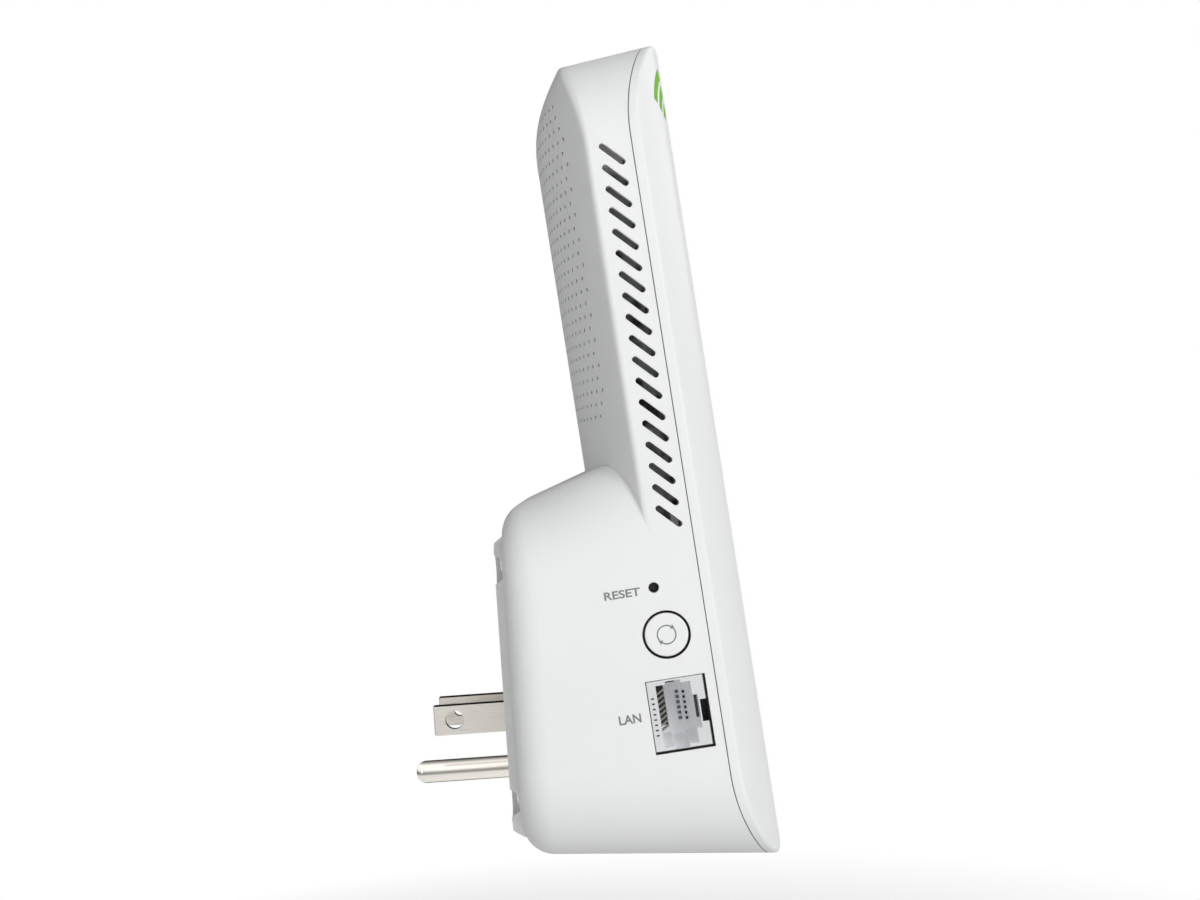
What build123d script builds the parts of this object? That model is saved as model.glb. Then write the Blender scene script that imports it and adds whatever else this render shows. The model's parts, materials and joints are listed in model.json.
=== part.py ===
"""Plug-in wifi range extender: a tall leaning body on a deep plug housing.

Millimetres.  X is to the right when facing the front, the front faces -Y, the plug points
along +Y into the wall and +Z is up.  The origin is on the wall plane, midway between the
two flat blades.
"""
from build123d import *
from math import cos, degrees, radians, sin, sqrt, tan
import os

os.makedirs("parts", exist_ok=True)

# ---------------------------------------------------------------- driving dimensions
HALF_WIDTH = 40.0
WALL = 2.0
TILT = 4.9                      # lean of the body towards the wall, degrees
BODY_ORIGIN = (0, -22.9, 54.83)
CORNER_RADIUS = 19.3

# front cover and seam, heights measured towards the front from the body plane
SEAM_SIDE = 15.12
CROWN = 7.8
CROWN_RADIUS = 180.0
CROWN_FLAT_HALF = 20.0
CROWN_OVERRUN = 1.0             # the crown is built this much wider than the body
CROWN_OVERRUN_DROP = 0.6
COVER_LIP = 2.05
SEAM_GAP = 0.2

# domed back of the leaning body
BACK_CREST = -3.9
BACK_RADIUS = 83.0
BACK_CENTRE = BACK_CREST + BACK_RADIUS
DOME_END_RADIUS = 22.0
DOME_END_T = 62.5
DOME_END_ANGLES = (0, 18, 36, 54)
LOFT_LEAD = 3.0                 # straight stretch built into the loft below the dome's end
CREASE_FILLET = 1.2
DOME_HALF = HALF_WIDTH + 2      # the dome is built wider than the body and trimmed by it

# top and bottom walls: slope above horizontal when moving forward, and one point on each
TOP_SLOPE = 9.7
TOP_POINT = (21.8, 79.1)
BOTTOM_SLOPE = -3.6
BOTTOM_POINT = (51.94, -28.8)

# plug housing against the wall
PLATE_PROUD = 2.1
REAR_WALL = 3.0
HOUSE_TOP_SLOPE = 21.0
HOUSE_TOP_POINT = (7.7, 45.85)
HOUSE_TOP_CORNER = 16.0
HOUSE_EDGE_FILLET = 6.6

# plug plate
PLATE_HALF_WIDTH = 24.0
PLATE_BOTTOM = -21.6
PLATE_TOP = 37.4
PLATE_CORNER = 5.0
PLATE_TAPER = 32.0
PLATE_DEPTH = 3.0
SCREW_X = 22.0
SCREW_Z = (-14.9, 32.0)
COUNTERBORE_RADIUS = 3.4

# NEMA 5-15 plug
BLADE_SPACING = 12.7
BLADE_HEIGHT = 6.35
BLADE_THICKNESS = 1.5
BLADE_LENGTH = 16.2
NEAR_HOLE_RADIUS = 1.98         # in the blade on the socket's side
FAR_HOLE_RADIUS = 1.2
BLADE_TIP_BEVEL = 0.25
BLADE_HOLE_REACH = 11.8
PIN_RADIUS = 2.375
PIN_SHANK_RADIUS = 2.1
PIN_LENGTH = 21.4
PIN_TIP_ROUND = 2.185
PIN_DROP = 11.89
INNER_TAB_DEPTH = 10.0

# side controls and socket, (forward, up) places on the leaning body
SLOT_COUNT = 18
SLOT_PITCH = 4.14
SLOT_TOP = 55.8
SLOT_FORWARD = 11.1
SLOT_LENGTH = 6.1
SLOT_WIDTH = 1.22
SLOT_TURN = -45
RESET_PLACE = (6.1, -27.7)
RESET_HOLE_RADIUS = 1.02
BUTTON_PLACE = (7.15, -37.0)
BUTTON_HOLE_RADIUS = 4.67
BUTTON_RADIUS = 4.22
JACK_PLACE = (7.4, -52.5)
JACK_OPENING = (11.6, 14.2)
JACK_GAP = 0.25
JACK_SHIFT = 0.08               # the socket sits this much back and up in its opening

# perforated back
HOLE_RADIUS = 0.38
HOLE_PITCH = 3.0
ROW_PITCH = 2.5
ROW_COUNT = 26
ROW_START = 6.6
COLUMNS_EACH_SIDE = 11
PERFORATED_HALF = 32.0
PERFORATED_CORNERS = (3.4, 4.6)  # at the bottom and at the top

# signal arcs in the upper left corner of the face
ARC_CENTRE = (-20.0, 62.7)
ARC_OUTER_RADII = (11.9, 8.45, 5.0)
ARC_BAND = 2.2
ARC_MIDDLE = 41.5               # direction of the arcs' middle, leaning left from upright
ARC_HALF_ANGLE = 27.5

# boards
BOARD_BACK = 14.2
BOARD_THICKNESS = 1.2
BOARD_HALF_WIDTH = 35.0
BOARD_BOTTOM = -76.0
BOARD_TOP = 70.0
POWER_BOARD_DEPTH = 13.0
POWER_BOARD_THICKNESS = 1.6
CLEARANCE = 0.05

# ---------------------------------------------------------------- reference planes
FORWARD = Vector(0, -cos(radians(TILT)), sin(radians(TILT)))
UPWARD = Vector(0, sin(radians(TILT)), cos(radians(TILT)))
FACE = Plane(origin=BODY_ORIGIN, x_dir=(1, 0, 0), z_dir=FORWARD)
SECTION = Plane(origin=BODY_ORIGIN, x_dir=(1, 0, 0), z_dir=UPWARD * -1)
PROFILE = Plane(origin=BODY_ORIGIN, x_dir=FORWARD, z_dir=(-1, 0, 0))
WALL_FACE = Plane(origin=(0, 0, 0), x_dir=(1, 0, 0), z_dir=(0, -1, 0))
FAR = 110.0


def sloped_plane(slope, origin):
    """Plane across the body whose normal points forward at a slope above horizontal."""
    forward = (0, -cos(radians(slope)), sin(radians(slope)))
    return Plane(origin=origin, x_dir=(1, 0, 0), z_dir=forward)


def body_point(x, up, forward):
    """World position of a point given in the leaning body's own directions."""
    return Vector(*BODY_ORIGIN) + Vector(x, 0, 0) + UPWARD * up + FORWARD * forward


def rim_edges(faces, direction, least):
    """Edges around the outside of the group of faces that look along a direction."""
    looking = [face for face in faces if face.normal_at().dot(direction) > least]
    edges = [edge for face in looking for edge in face.edges()]
    return [edge for edge in edges if sum(edge.is_same(other) for other in edges) == 1]


# ---------------------------------------------------------------- body volumes
def outline(inset):
    """Prism of the rounded outline, with its sloping top and bottom walls, set in by inset."""
    width = 2 * (HALF_WIDTH - inset)
    radius = CORNER_RADIUS - inset
    forward, up = TOP_POINT
    top_plane = sloped_plane(TOP_SLOPE, body_point(0, up, forward))
    bottom_plane = sloped_plane(BOTTOM_SLOPE, (0, -BOTTOM_POINT[0], BOTTOM_POINT[1]))
    with BuildPart() as prism:
        with BuildSketch(bottom_plane):
            with Locations((0, inset)):
                Rectangle(width, 2 * FAR, align=(Align.CENTER, Align.MIN))
            fillet(vertices().group_by(Axis.Y)[0], radius)
        extrude(amount=FAR, both=True)
        with BuildSketch(top_plane):
            with Locations((0, -inset)):
                Rectangle(width, 2 * FAR, align=(Align.CENTER, Align.MAX))
            fillet(vertices().group_by(Axis.Y)[-1], radius)
        extrude(amount=FAR, both=True, mode=Mode.INTERSECT)
    return prism.part


def dome_section(plane, crest, edge):
    """One cross-section of the domed back: an arch closed off well in front of the body."""
    with BuildSketch(plane) as section:
        with BuildLine():
            ThreePointArc((-DOME_HALF, edge), (0, crest), (DOME_HALF, edge))
            Polyline((DOME_HALF, edge), (DOME_HALF, DOME_HALF), (-DOME_HALF, DOME_HALF), (-DOME_HALF, edge))
        make_face()
    return section.sketch


def leaning_body(inset):
    """Leaning body with a domed back, reaching well past the front, set in by inset."""
    end_radius = DOME_END_RADIUS - inset
    arch_radius = BACK_RADIUS - inset
    edge = BACK_CENTRE - sqrt(arch_radius ** 2 - DOME_HALF ** 2)
    end_centre = BACK_CREST + DOME_END_RADIUS
    sections = [dome_section(SECTION.offset(LOFT_LEAD - DOME_END_T), BACK_CREST + inset, edge)]
    for angle in DOME_END_ANGLES:
        up = DOME_END_T + end_radius * sin(radians(angle))
        crest = end_centre - end_radius * cos(radians(angle))
        sections.append(dome_section(SECTION.offset(-up), crest, edge))
    border = outline(inset)
    with BuildPart() as body:
        loft(sections=sections)
        add(extrude(sections[0], amount=2 * FAR, mode=Mode.PRIVATE))
        with BuildSketch(SECTION.offset(-up)):
            with Locations((0, crest)):
                Rectangle(2 * DOME_HALF, DOME_HALF, align=(Align.CENTER, Align.MIN))
        extrude(amount=-DOME_END_RADIUS)
        add(border, mode=Mode.INTERSECT)
        if inset == 0:
            fillet(rim_edges(faces(), FORWARD * -1, 0.5), CREASE_FILLET)
    return body.part


def plug_housing(inset, depth):
    """Lower housing from the given depth off the wall into the body, set in by inset."""
    border = outline(inset)
    forward, up = HOUSE_TOP_POINT
    top_plane = sloped_plane(HOUSE_TOP_SLOPE, (0, -forward, up))
    with BuildPart() as housing:
        add(border)
        with BuildSketch(top_plane):
            with Locations((0, -inset)):
                Rectangle(2 * (HALF_WIDTH - inset), 2 * FAR, align=(Align.CENTER, Align.MAX))
            fillet(vertices().group_by(Axis.Y)[-1], HOUSE_TOP_CORNER - inset)
        extrude(amount=FAR, both=True, mode=Mode.INTERSECT)
        split(bisect_by=WALL_FACE.offset(depth), keep=Keep.TOP)
        split(bisect_by=FACE.offset(SLOT_FORWARD), keep=Keep.BOTTOM)
        fillet(faces().sort_by(Axis.Y)[-1].edges(), HOUSE_EDGE_FILLET - inset)
    return housing.part


def crowned_region(side, height):
    """Region of the cross-section under the crowned front line, down to a given height."""
    crest = side + CROWN
    shoulder = crest - CROWN_RADIUS + sqrt(CROWN_RADIUS ** 2 - CROWN_FLAT_HALF ** 2)
    reach = HALF_WIDTH + CROWN_OVERRUN
    end = side - CROWN_OVERRUN_DROP
    with BuildSketch(SECTION) as region:
        with BuildLine():
            middle = ThreePointArc((-CROWN_FLAT_HALF, shoulder), (0, crest), (CROWN_FLAT_HALF, shoulder))
            TangentArc((CROWN_FLAT_HALF, shoulder), (reach, end), tangent=middle % 1)
            TangentArc((-CROWN_FLAT_HALF, shoulder), (-reach, end), tangent=(middle % 0) * -1)
            Polyline((reach, end), (reach, height), (-reach, height), (-reach, end))
        make_face()
    return region.sketch


def crowned_prism(side, height):
    """Full-length prism of the crowned region."""
    region = crowned_region(side, height)
    with BuildPart() as prism:
        extrude(region, amount=FAR, both=True)
    return prism.part


# ---------------------------------------------------------------- front cover
def around_arcs(radius, angle):
    """Place on the face at a radius from the arcs' centre and an angle left of upright."""
    x, up = ARC_CENTRE
    return (x - radius * sin(radians(angle)), up + radius * cos(radians(angle)))


def arc_sketch(plane, outer_radius, band, half_angle):
    """A band of a ring about the arcs' common centre, cut off by two radial lines."""
    with BuildSketch(plane) as arc:
        with Locations(ARC_CENTRE):
            Circle(outer_radius)
            Circle(outer_radius - band, mode=Mode.SUBTRACT)
        ends = [around_arcs(2 * outer_radius, ARC_MIDDLE + side * half_angle) for side in (-1, 1)]
        with BuildLine():
            Polyline(ARC_CENTRE, *ends, ARC_CENTRE)
        make_face(mode=Mode.INTERSECT)
    return arc.sketch


def arc_prism(low, grow):
    """The three signal arcs as prisms running forward from a height, grown all round."""
    with BuildPart() as arcs:
        for radius in ARC_OUTER_RADII:
            half_angle = ARC_HALF_ANGLE + degrees(grow / (radius - ARC_BAND))
            band = arc_sketch(FACE.offset(low), radius + grow, ARC_BAND + 2 * grow, half_angle)
            extrude(band, amount=FAR)
    return arcs.part


TONGUE_LOW = 13.2
TONGUE_CLEARANCE = 0.15
TONGUE_THICKNESS = 1.2
BOSS_X = 30.0
BOSS_UP = (-66.0, 58.0)
BOSS_RADIUS = 2.6
SCREW_RADIUS = 1.0
SCREW_HOLE_RADIUS = 1.2
PILOT_RADIUS = 1.05
PILOT_DEPTH = 4.4
BOSS_TOP = 20.3
SIDE_GAP = (8.0, 42.0)          # gap in the tongue beside the socket and controls
BOARD_FRONT = BOARD_BACK + BOARD_THICKNESS
COVER_EDGE_FILLET = 0.8
BOSS_PLACES = [(x, up) for x in (-BOSS_X, BOSS_X) for up in BOSS_UP]

cover_top = crowned_prism(SEAM_SIDE + COVER_LIP, SEAM_SIDE - WALL)
cover_under = crowned_prism(SEAM_SIDE + SEAM_GAP / 2, -WALL)
tongue_top = crowned_prism(SEAM_SIDE + COVER_LIP / 2, TONGUE_LOW)
outer_outline = outline(0)
tongue_outer = outline(WALL + TONGUE_CLEARANCE)
tongue_inner = outline(WALL + TONGUE_CLEARANCE + TONGUE_THICKNESS)
arc_openings = arc_prism(TONGUE_LOW, CLEARANCE)

with BuildPart() as tongue:
    add(tongue_outer)
    add(tongue_inner, mode=Mode.SUBTRACT)
    add(tongue_top, mode=Mode.INTERSECT)
    # gap in the tongue for the socket and the two side controls
    with BuildSketch(PROFILE):
        with Locations((SEAM_SIDE, (JACK_PLACE[1] + RESET_PLACE[1]) / 2)):
            Rectangle(*SIDE_GAP)
    extrude(amount=HALF_WIDTH, mode=Mode.SUBTRACT)

with BuildPart() as front_cover:
    add(cover_top)
    add(cover_under, mode=Mode.SUBTRACT)
    add(outer_outline, mode=Mode.INTERSECT)
    fillet(rim_edges(faces(), FORWARD, 0.8), COVER_EDGE_FILLET)
    add(tongue.part)
    with BuildSketch(FACE.offset(BOARD_FRONT)):
        with Locations(*BOSS_PLACES):
            Circle(BOSS_RADIUS)
    extrude(amount=BOSS_TOP - BOARD_FRONT)
    with BuildSketch(FACE.offset(BOARD_FRONT)):
        with Locations(*BOSS_PLACES):
            Circle(PILOT_RADIUS)
    extrude(amount=PILOT_DEPTH, mode=Mode.SUBTRACT)
    add(arc_openings, mode=Mode.SUBTRACT)
front_cover.part.label = "front_cover"
export_step(front_cover.part, "parts/front_cover.step")


# ---------------------------------------------------------------- rear shell
def slot_places():
    """Centres of the side vents, forward and up, from the top one down."""
    return [(SLOT_FORWARD, SLOT_TOP - SLOT_PITCH * i) for i in range(SLOT_COUNT)]


def rounded_reach(from_edge, corner):
    """Half width of the perforated field at a height measured from its rounded end."""
    if from_edge >= corner:
        return PERFORATED_HALF
    return PERFORATED_HALF - corner + sqrt(corner ** 2 - (corner - from_edge) ** 2)


def perforation_places():
    """Staggered holes on the back, filling a rectangle with rounded corners."""
    places = []
    top = ROW_START + (ROW_COUNT - 1) * ROW_PITCH
    low_corner, high_corner = PERFORATED_CORNERS
    for row in range(ROW_COUNT):
        up = ROW_START + row * ROW_PITCH
        shift = HOLE_PITCH / 2 * ((row + 1) % 2)
        reach = min(rounded_reach(up - ROW_START, low_corner), rounded_reach(top - up, high_corner))
        for column in range(-COLUMNS_EACH_SIDE, COLUMNS_EACH_SIDE):
            x = column * HOLE_PITCH + shift
            if abs(x) <= reach:
                places.append((x, up))
    return places


PLATE_CENTRE_Z = (PLATE_TOP + PLATE_BOTTOM) / 2
CORE_SIZE = (30.0, 34.0)
CORE_CENTRE_Z = 2.0
PLATE_BOSS_RADIUS = 4.4
PLATE_BOSS_DEPTH = 5.0
PLATE_SCREW_RADIUS = 1.45
PLATE_SCREW_END = 12.4
POST_RADIUS = 3.8
STANDOFF_RADIUS = 3.0
STANDOFF_X = 28.0
STANDOFF_Z = (-5.0, 23.0)
COLLAR_RADIUS = 5.9
COLLAR_DEPTH = 1.6
PLATE_SCREW_PLACES = [(x, z) for x in (-SCREW_X, SCREW_X) for z in SCREW_Z]
STANDOFF_PLACES = [(x, z) for x in (-STANDOFF_X, STANDOFF_X) for z in STANDOFF_Z]

body_outside = leaning_body(0)
body_inside = leaning_body(WALL)
housing_outside = plug_housing(0, PLATE_PROUD)
housing_inside = plug_housing(WALL, PLATE_PROUD + REAR_WALL)
seam_cut = crowned_prism(SEAM_SIDE - SEAM_GAP / 2, -FAR / 2)


def plate_outline(depth, grow):
    """Outline of the plug plate at a depth off the wall."""
    with BuildSketch(WALL_FACE.offset(depth)) as shape:
        with Locations((0, PLATE_CENTRE_Z)):
            width = 2 * (PLATE_HALF_WIDTH + grow)
            height = PLATE_TOP - PLATE_BOTTOM + 2 * grow
            RectangleRounded(width, height, PLATE_CORNER + grow)
    return shape.sketch


PLATE_GROWTH = PLATE_PROUD * tan(radians(PLATE_TAPER))
plate_recess = plate_outline(PLATE_PROUD, PLATE_GROWTH + CLEARANCE)

with BuildPart() as rear_shell:
    add(body_outside)
    add(housing_outside)
    add(seam_cut, mode=Mode.INTERSECT)
    add(body_inside, mode=Mode.SUBTRACT)
    add(housing_inside, mode=Mode.SUBTRACT)
    # posts for the plate screws and standoffs for the power board
    inside_wall = PLATE_PROUD + REAR_WALL
    with BuildSketch(WALL_FACE.offset(inside_wall - WALL / 2)):
        with Locations(*PLATE_SCREW_PLACES):
            Circle(POST_RADIUS)
        with Locations(*STANDOFF_PLACES):
            Circle(STANDOFF_RADIUS)
    extrude(amount=POWER_BOARD_DEPTH - inside_wall + WALL / 2)
    # recess and opening for the plug plate
    extrude(plate_recess, amount=PLATE_DEPTH - PLATE_PROUD + CLEARANCE, mode=Mode.SUBTRACT)
    with BuildSketch(WALL_FACE.offset(PLATE_PROUD)):
        with Locations((0, CORE_CENTRE_Z)):
            RectangleRounded(CORE_SIZE[0] + 2 * CLEARANCE, CORE_SIZE[1] + 2 * CLEARANCE, WALL)
    extrude(amount=2 * REAR_WALL, mode=Mode.SUBTRACT)
    with BuildSketch(WALL_FACE.offset(PLATE_PROUD)):
        with Locations(*PLATE_SCREW_PLACES):
            Circle(PLATE_BOSS_RADIUS + CLEARANCE)
    extrude(amount=PLATE_BOSS_DEPTH + CLEARANCE - PLATE_PROUD, mode=Mode.SUBTRACT)
    with BuildSketch(WALL_FACE.offset(PLATE_PROUD)):
        with Locations(*PLATE_SCREW_PLACES):
            Circle(PLATE_SCREW_RADIUS + CLEARANCE)
    extrude(amount=POWER_BOARD_DEPTH, mode=Mode.SUBTRACT)
    with BuildSketch(WALL_FACE.offset(inside_wall)):
        with Locations(*STANDOFF_PLACES):
            Circle(PILOT_RADIUS)
    extrude(amount=POWER_BOARD_DEPTH, mode=Mode.SUBTRACT)
    # collar that steadies the round button
    with BuildSketch(PROFILE.offset(HALF_WIDTH - WALL - COLLAR_DEPTH)):
        with Locations(BUTTON_PLACE):
            Circle(COLLAR_RADIUS)
    extrude(amount=COLLAR_DEPTH + WALL / 2)
    # side vents on both sides
    with BuildSketch(PROFILE):
        with Locations(*slot_places()):
            SlotOverall(SLOT_LENGTH, SLOT_WIDTH, rotation=SLOT_TURN)
    extrude(amount=FAR, both=True, mode=Mode.SUBTRACT)
    # reset hole, button hole and socket opening on the left side
    with BuildSketch(PROFILE.offset(HALF_WIDTH / 2)):
        with Locations(RESET_PLACE):
            Circle(RESET_HOLE_RADIUS)
        with Locations(BUTTON_PLACE):
            Circle(BUTTON_HOLE_RADIUS)
        with Locations(JACK_PLACE):
            Rectangle(*JACK_OPENING)
    extrude(amount=HALF_WIDTH, mode=Mode.SUBTRACT)
    # perforated back
    with BuildSketch(FACE.offset(2 * BACK_CREST)):
        with Locations(*perforation_places()):
            Circle(HOLE_RADIUS)
    extrude(amount=SLOT_FORWARD - BACK_CREST, mode=Mode.SUBTRACT)
rear_shell.part.label = "rear_shell"
export_step(rear_shell.part, "parts/rear_shell.step")

# ---------------------------------------------------------------- plug plate and plug
CORE_DEPTH = 8.0
COUNTERBORE_FLOOR = 3.0

with BuildPart() as plug_plate:
    extrude(plate_outline(0, 0), amount=PLATE_PROUD, taper=-PLATE_TAPER)
    extrude(plate_outline(PLATE_PROUD, PLATE_GROWTH), amount=PLATE_DEPTH - PLATE_PROUD)
    with BuildSketch(WALL_FACE.offset(PLATE_PROUD)):
        with Locations((0, CORE_CENTRE_Z)):
            RectangleRounded(*CORE_SIZE, WALL)
    extrude(amount=CORE_DEPTH - PLATE_PROUD)
    with BuildSketch(WALL_FACE.offset(PLATE_PROUD)):
        with Locations(*PLATE_SCREW_PLACES):
            Circle(PLATE_BOSS_RADIUS)
    extrude(amount=PLATE_BOSS_DEPTH - PLATE_PROUD)
    with BuildSketch(WALL_FACE):
        with Locations(*PLATE_SCREW_PLACES):
            Circle(COUNTERBORE_RADIUS)
    extrude(amount=COUNTERBORE_FLOOR, mode=Mode.SUBTRACT)
    with BuildSketch(WALL_FACE):
        with Locations(*PLATE_SCREW_PLACES):
            Circle(PLATE_SCREW_RADIUS + CLEARANCE)
        with GridLocations(BLADE_SPACING, 0, 2, 1):
            Rectangle(BLADE_THICKNESS + 2 * CLEARANCE, BLADE_HEIGHT + 2 * CLEARANCE)
        with Locations((0, -PIN_DROP)):
            Circle(PIN_SHANK_RADIUS + CLEARANCE)
    extrude(amount=CORE_DEPTH, mode=Mode.SUBTRACT)
plug_plate.part.label = "plug_plate"
export_step(plug_plate.part, "parts/plug_plate.step")

SCREW_HEAD_RADIUS = 2.8
SCREW_HEAD_HEIGHT = 1.8
SCREW_HEAD_ROUND = 0.6
DRIVE_RADIUS = 1.1
DRIVE_DEPTH = 1.1
with BuildPart() as plate_screws:
    with BuildSketch(WALL_FACE.offset(COUNTERBORE_FLOOR - SCREW_HEAD_HEIGHT)):
        with Locations(*PLATE_SCREW_PLACES):
            Circle(SCREW_HEAD_RADIUS)
    extrude(amount=SCREW_HEAD_HEIGHT)
    fillet(edges().group_by(Axis.Y)[-1], SCREW_HEAD_ROUND)
    with BuildSketch(WALL_FACE.offset(COUNTERBORE_FLOOR - SCREW_HEAD_HEIGHT)):
        with Locations(*PLATE_SCREW_PLACES):
            RegularPolygon(DRIVE_RADIUS, 3)
    extrude(amount=DRIVE_DEPTH, mode=Mode.SUBTRACT)
    with BuildSketch(WALL_FACE.offset(COUNTERBORE_FLOOR)):
        with Locations(*PLATE_SCREW_PLACES):
            Circle(PLATE_SCREW_RADIUS)
    extrude(amount=PLATE_SCREW_END - COUNTERBORE_FLOOR)
plate_screws.part.label = "plate_screws"
export_step(plate_screws.part, "parts/plate_screws.step")


def blade(x, hole_radius):
    """One flat blade with its round hole, bevelled tip and narrow soldering tab inside."""
    side = Plane(origin=(x - BLADE_THICKNESS / 2, 0, 0), x_dir=(0, 1, 0), z_dir=(1, 0, 0))
    with BuildPart() as piece:
        with BuildSketch(side):
            with Locations(((BLADE_LENGTH - CORE_DEPTH) / 2, 0)):
                Rectangle(BLADE_LENGTH + CORE_DEPTH, BLADE_HEIGHT)
            with Locations((-INNER_TAB_DEPTH / 2, 0)):
                Rectangle(INNER_TAB_DEPTH, BLADE_HEIGHT / 2)
            with Locations((BLADE_HOLE_REACH, 0)):
                Circle(hole_radius, mode=Mode.SUBTRACT)
        extrude(amount=BLADE_THICKNESS)
        tip = faces().sort_by(Axis.Y)[-1].edges()
        chamfer(tip, BLADE_TIP_BEVEL)
    return piece.part


line_blade = blade(-BLADE_SPACING / 2, NEAR_HOLE_RADIUS)
line_blade.label = "line_blade"
export_step(line_blade, "parts/line_blade.step")
neutral_blade = blade(BLADE_SPACING / 2, FAR_HOLE_RADIUS)
neutral_blade.label = "neutral_blade"
export_step(neutral_blade, "parts/neutral_blade.step")

with BuildPart() as ground_pin:
    with BuildSketch(WALL_FACE):
        with Locations((0, -PIN_DROP)):
            Circle(PIN_RADIUS)
    extrude(amount=-PIN_LENGTH)
    fillet(edges().sort_by(Axis.Y)[-1], PIN_TIP_ROUND)
    with BuildSketch(WALL_FACE):
        with Locations((0, -PIN_DROP)):
            Circle(PIN_SHANK_RADIUS)
    extrude(amount=INNER_TAB_DEPTH)
ground_pin.part.label = "ground_pin"
export_step(ground_pin.part, "parts/ground_pin.step")

# ---------------------------------------------------------------- sync button and its switch
BUTTON_FACE = HALF_WIDTH
BUTTON_FLANGE_RADIUS = 5.4
BUTTON_FLANGE = (36.15, 35.35)
BUTTON_EDGE_ROUND = 0.3
BUTTON_STEM_RADIUS = 1.6
SWITCH_TIP = 32.4
SYNC_SWITCH_FACE = 31.4
SYNC_SWITCH_BACK = 27.6
SWITCH_BODY = 6.2
SWITCH_LEG = 1.0
PLUNGER_RADIUS = 1.7
PLUNGER_POCKET = 2.0
PLUNGER_BURIED = 1.2
button_forward, button_up = BUTTON_PLACE
sync_leg_length = BOARD_BACK - button_forward
sync_leg_offset = (SWITCH_BODY - SWITCH_LEG) / 2
sync_leg_places = [
    (button_forward + sync_leg_length / 2, button_up + offset) for offset in (-sync_leg_offset, sync_leg_offset)
]

with BuildPart() as sync_button:
    with BuildSketch(PROFILE.offset(BUTTON_FLANGE[0])):
        with Locations(BUTTON_PLACE):
            Circle(BUTTON_RADIUS)
    extrude(amount=BUTTON_FACE - BUTTON_FLANGE[0])
    fillet(edges().sort_by(Axis.X)[0], BUTTON_EDGE_ROUND)
    with BuildSketch(PROFILE.offset(BUTTON_FLANGE[1])):
        with Locations(BUTTON_PLACE):
            Circle(BUTTON_FLANGE_RADIUS)
    extrude(amount=BUTTON_FLANGE[0] - BUTTON_FLANGE[1])
    with BuildSketch(PROFILE.offset(SWITCH_TIP)):
        with Locations(BUTTON_PLACE):
            Circle(BUTTON_STEM_RADIUS)
    extrude(amount=BUTTON_FLANGE[1] - SWITCH_TIP)
sync_button.part.label = "sync_button"
export_step(sync_button.part, "parts/sync_button.step")

with BuildPart() as sync_switch:
    with BuildSketch(PROFILE.offset(SYNC_SWITCH_BACK)):
        with Locations(BUTTON_PLACE):
            Rectangle(SWITCH_BODY, SWITCH_BODY)
        with Locations(*sync_leg_places):
            Rectangle(sync_leg_length, SWITCH_LEG)
    extrude(amount=SYNC_SWITCH_FACE - SYNC_SWITCH_BACK)
    with BuildSketch(PROFILE.offset(SYNC_SWITCH_FACE)):
        with Locations(BUTTON_PLACE):
            Circle(PLUNGER_RADIUS + CLEARANCE)
    extrude(amount=-PLUNGER_POCKET, mode=Mode.SUBTRACT)
sync_switch.part.label = "sync_switch"
export_step(sync_switch.part, "parts/sync_switch.step")

with BuildPart() as sync_plunger:
    with BuildSketch(PROFILE.offset(SYNC_SWITCH_FACE - PLUNGER_BURIED)):
        with Locations(BUTTON_PLACE):
            Circle(PLUNGER_RADIUS)
    extrude(amount=SWITCH_TIP - SYNC_SWITCH_FACE + PLUNGER_BURIED)
sync_plunger.part.label = "sync_plunger"
export_step(sync_plunger.part, "parts/sync_plunger.step")

# ---------------------------------------------------------------- reset switch
RESET_TIP = 37.2
RESET_FACE = 36.4
RESET_BACK = 33.2
RESET_BODY = 4.0
RESET_LEG = 1.2
RESET_PLUNGER_RADIUS = 0.75
RESET_POCKET = 1.4
RESET_BURIED = 1.0
reset_forward, reset_up = RESET_PLACE
reset_leg_length = BOARD_BACK - reset_forward

with BuildPart() as reset_switch:
    with BuildSketch(PROFILE.offset(RESET_BACK)):
        with Locations(RESET_PLACE):
            Rectangle(RESET_BODY, RESET_BODY)
        with Locations((reset_forward + reset_leg_length / 2, reset_up)):
            Rectangle(reset_leg_length, RESET_LEG)
    extrude(amount=RESET_FACE - RESET_BACK)
    with BuildSketch(PROFILE.offset(RESET_FACE)):
        with Locations(RESET_PLACE):
            Circle(RESET_PLUNGER_RADIUS + CLEARANCE)
    extrude(amount=-RESET_POCKET, mode=Mode.SUBTRACT)
reset_switch.part.label = "reset_switch"
export_step(reset_switch.part, "parts/reset_switch.step")

with BuildPart() as reset_plunger:
    with BuildSketch(PROFILE.offset(RESET_FACE - RESET_BURIED)):
        with Locations(RESET_PLACE):
            Circle(RESET_PLUNGER_RADIUS)
    extrude(amount=RESET_TIP - RESET_FACE + RESET_BURIED)
reset_plunger.part.label = "reset_plunger"
export_step(reset_plunger.part, "parts/reset_plunger.step")

# ---------------------------------------------------------------- network socket
JACK_FACE = 39.75
JACK_SHOULDER = 37.7
JACK_END = 19.0
JACK_NOSE = (JACK_OPENING[0] - 2 * JACK_GAP, JACK_OPENING[1] - 2 * JACK_GAP)
PLUG_CAVITY = (6.75, 11.85)
PLUG_CAVITY_FORWARD = 6.85
PLUG_CAVITY_DEPTH = 16.5
LATCH_SLOT = (1.0, 6.4)
SIDE_KEYS = (2.9, 13.05)
EDGE_NOTCH = (1.35, 4.3)
EDGE_NOTCH_DEPTH = 6.0
CONTACT_PITCH = 1.02
CONTACT_WIDTH = 0.45
CONTACT_THICKNESS = 0.3
CONTACT_COUNT = 8
CONTACT_START = 1.5             # depths behind the socket's face
CONTACT_KNEE = 3.0
CONTACT_END = 10.5
CONTACT_REACH = 1.5             # how far the contacts stand into the plug's cavity
COMB_WIDTH = 0.62
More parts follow.
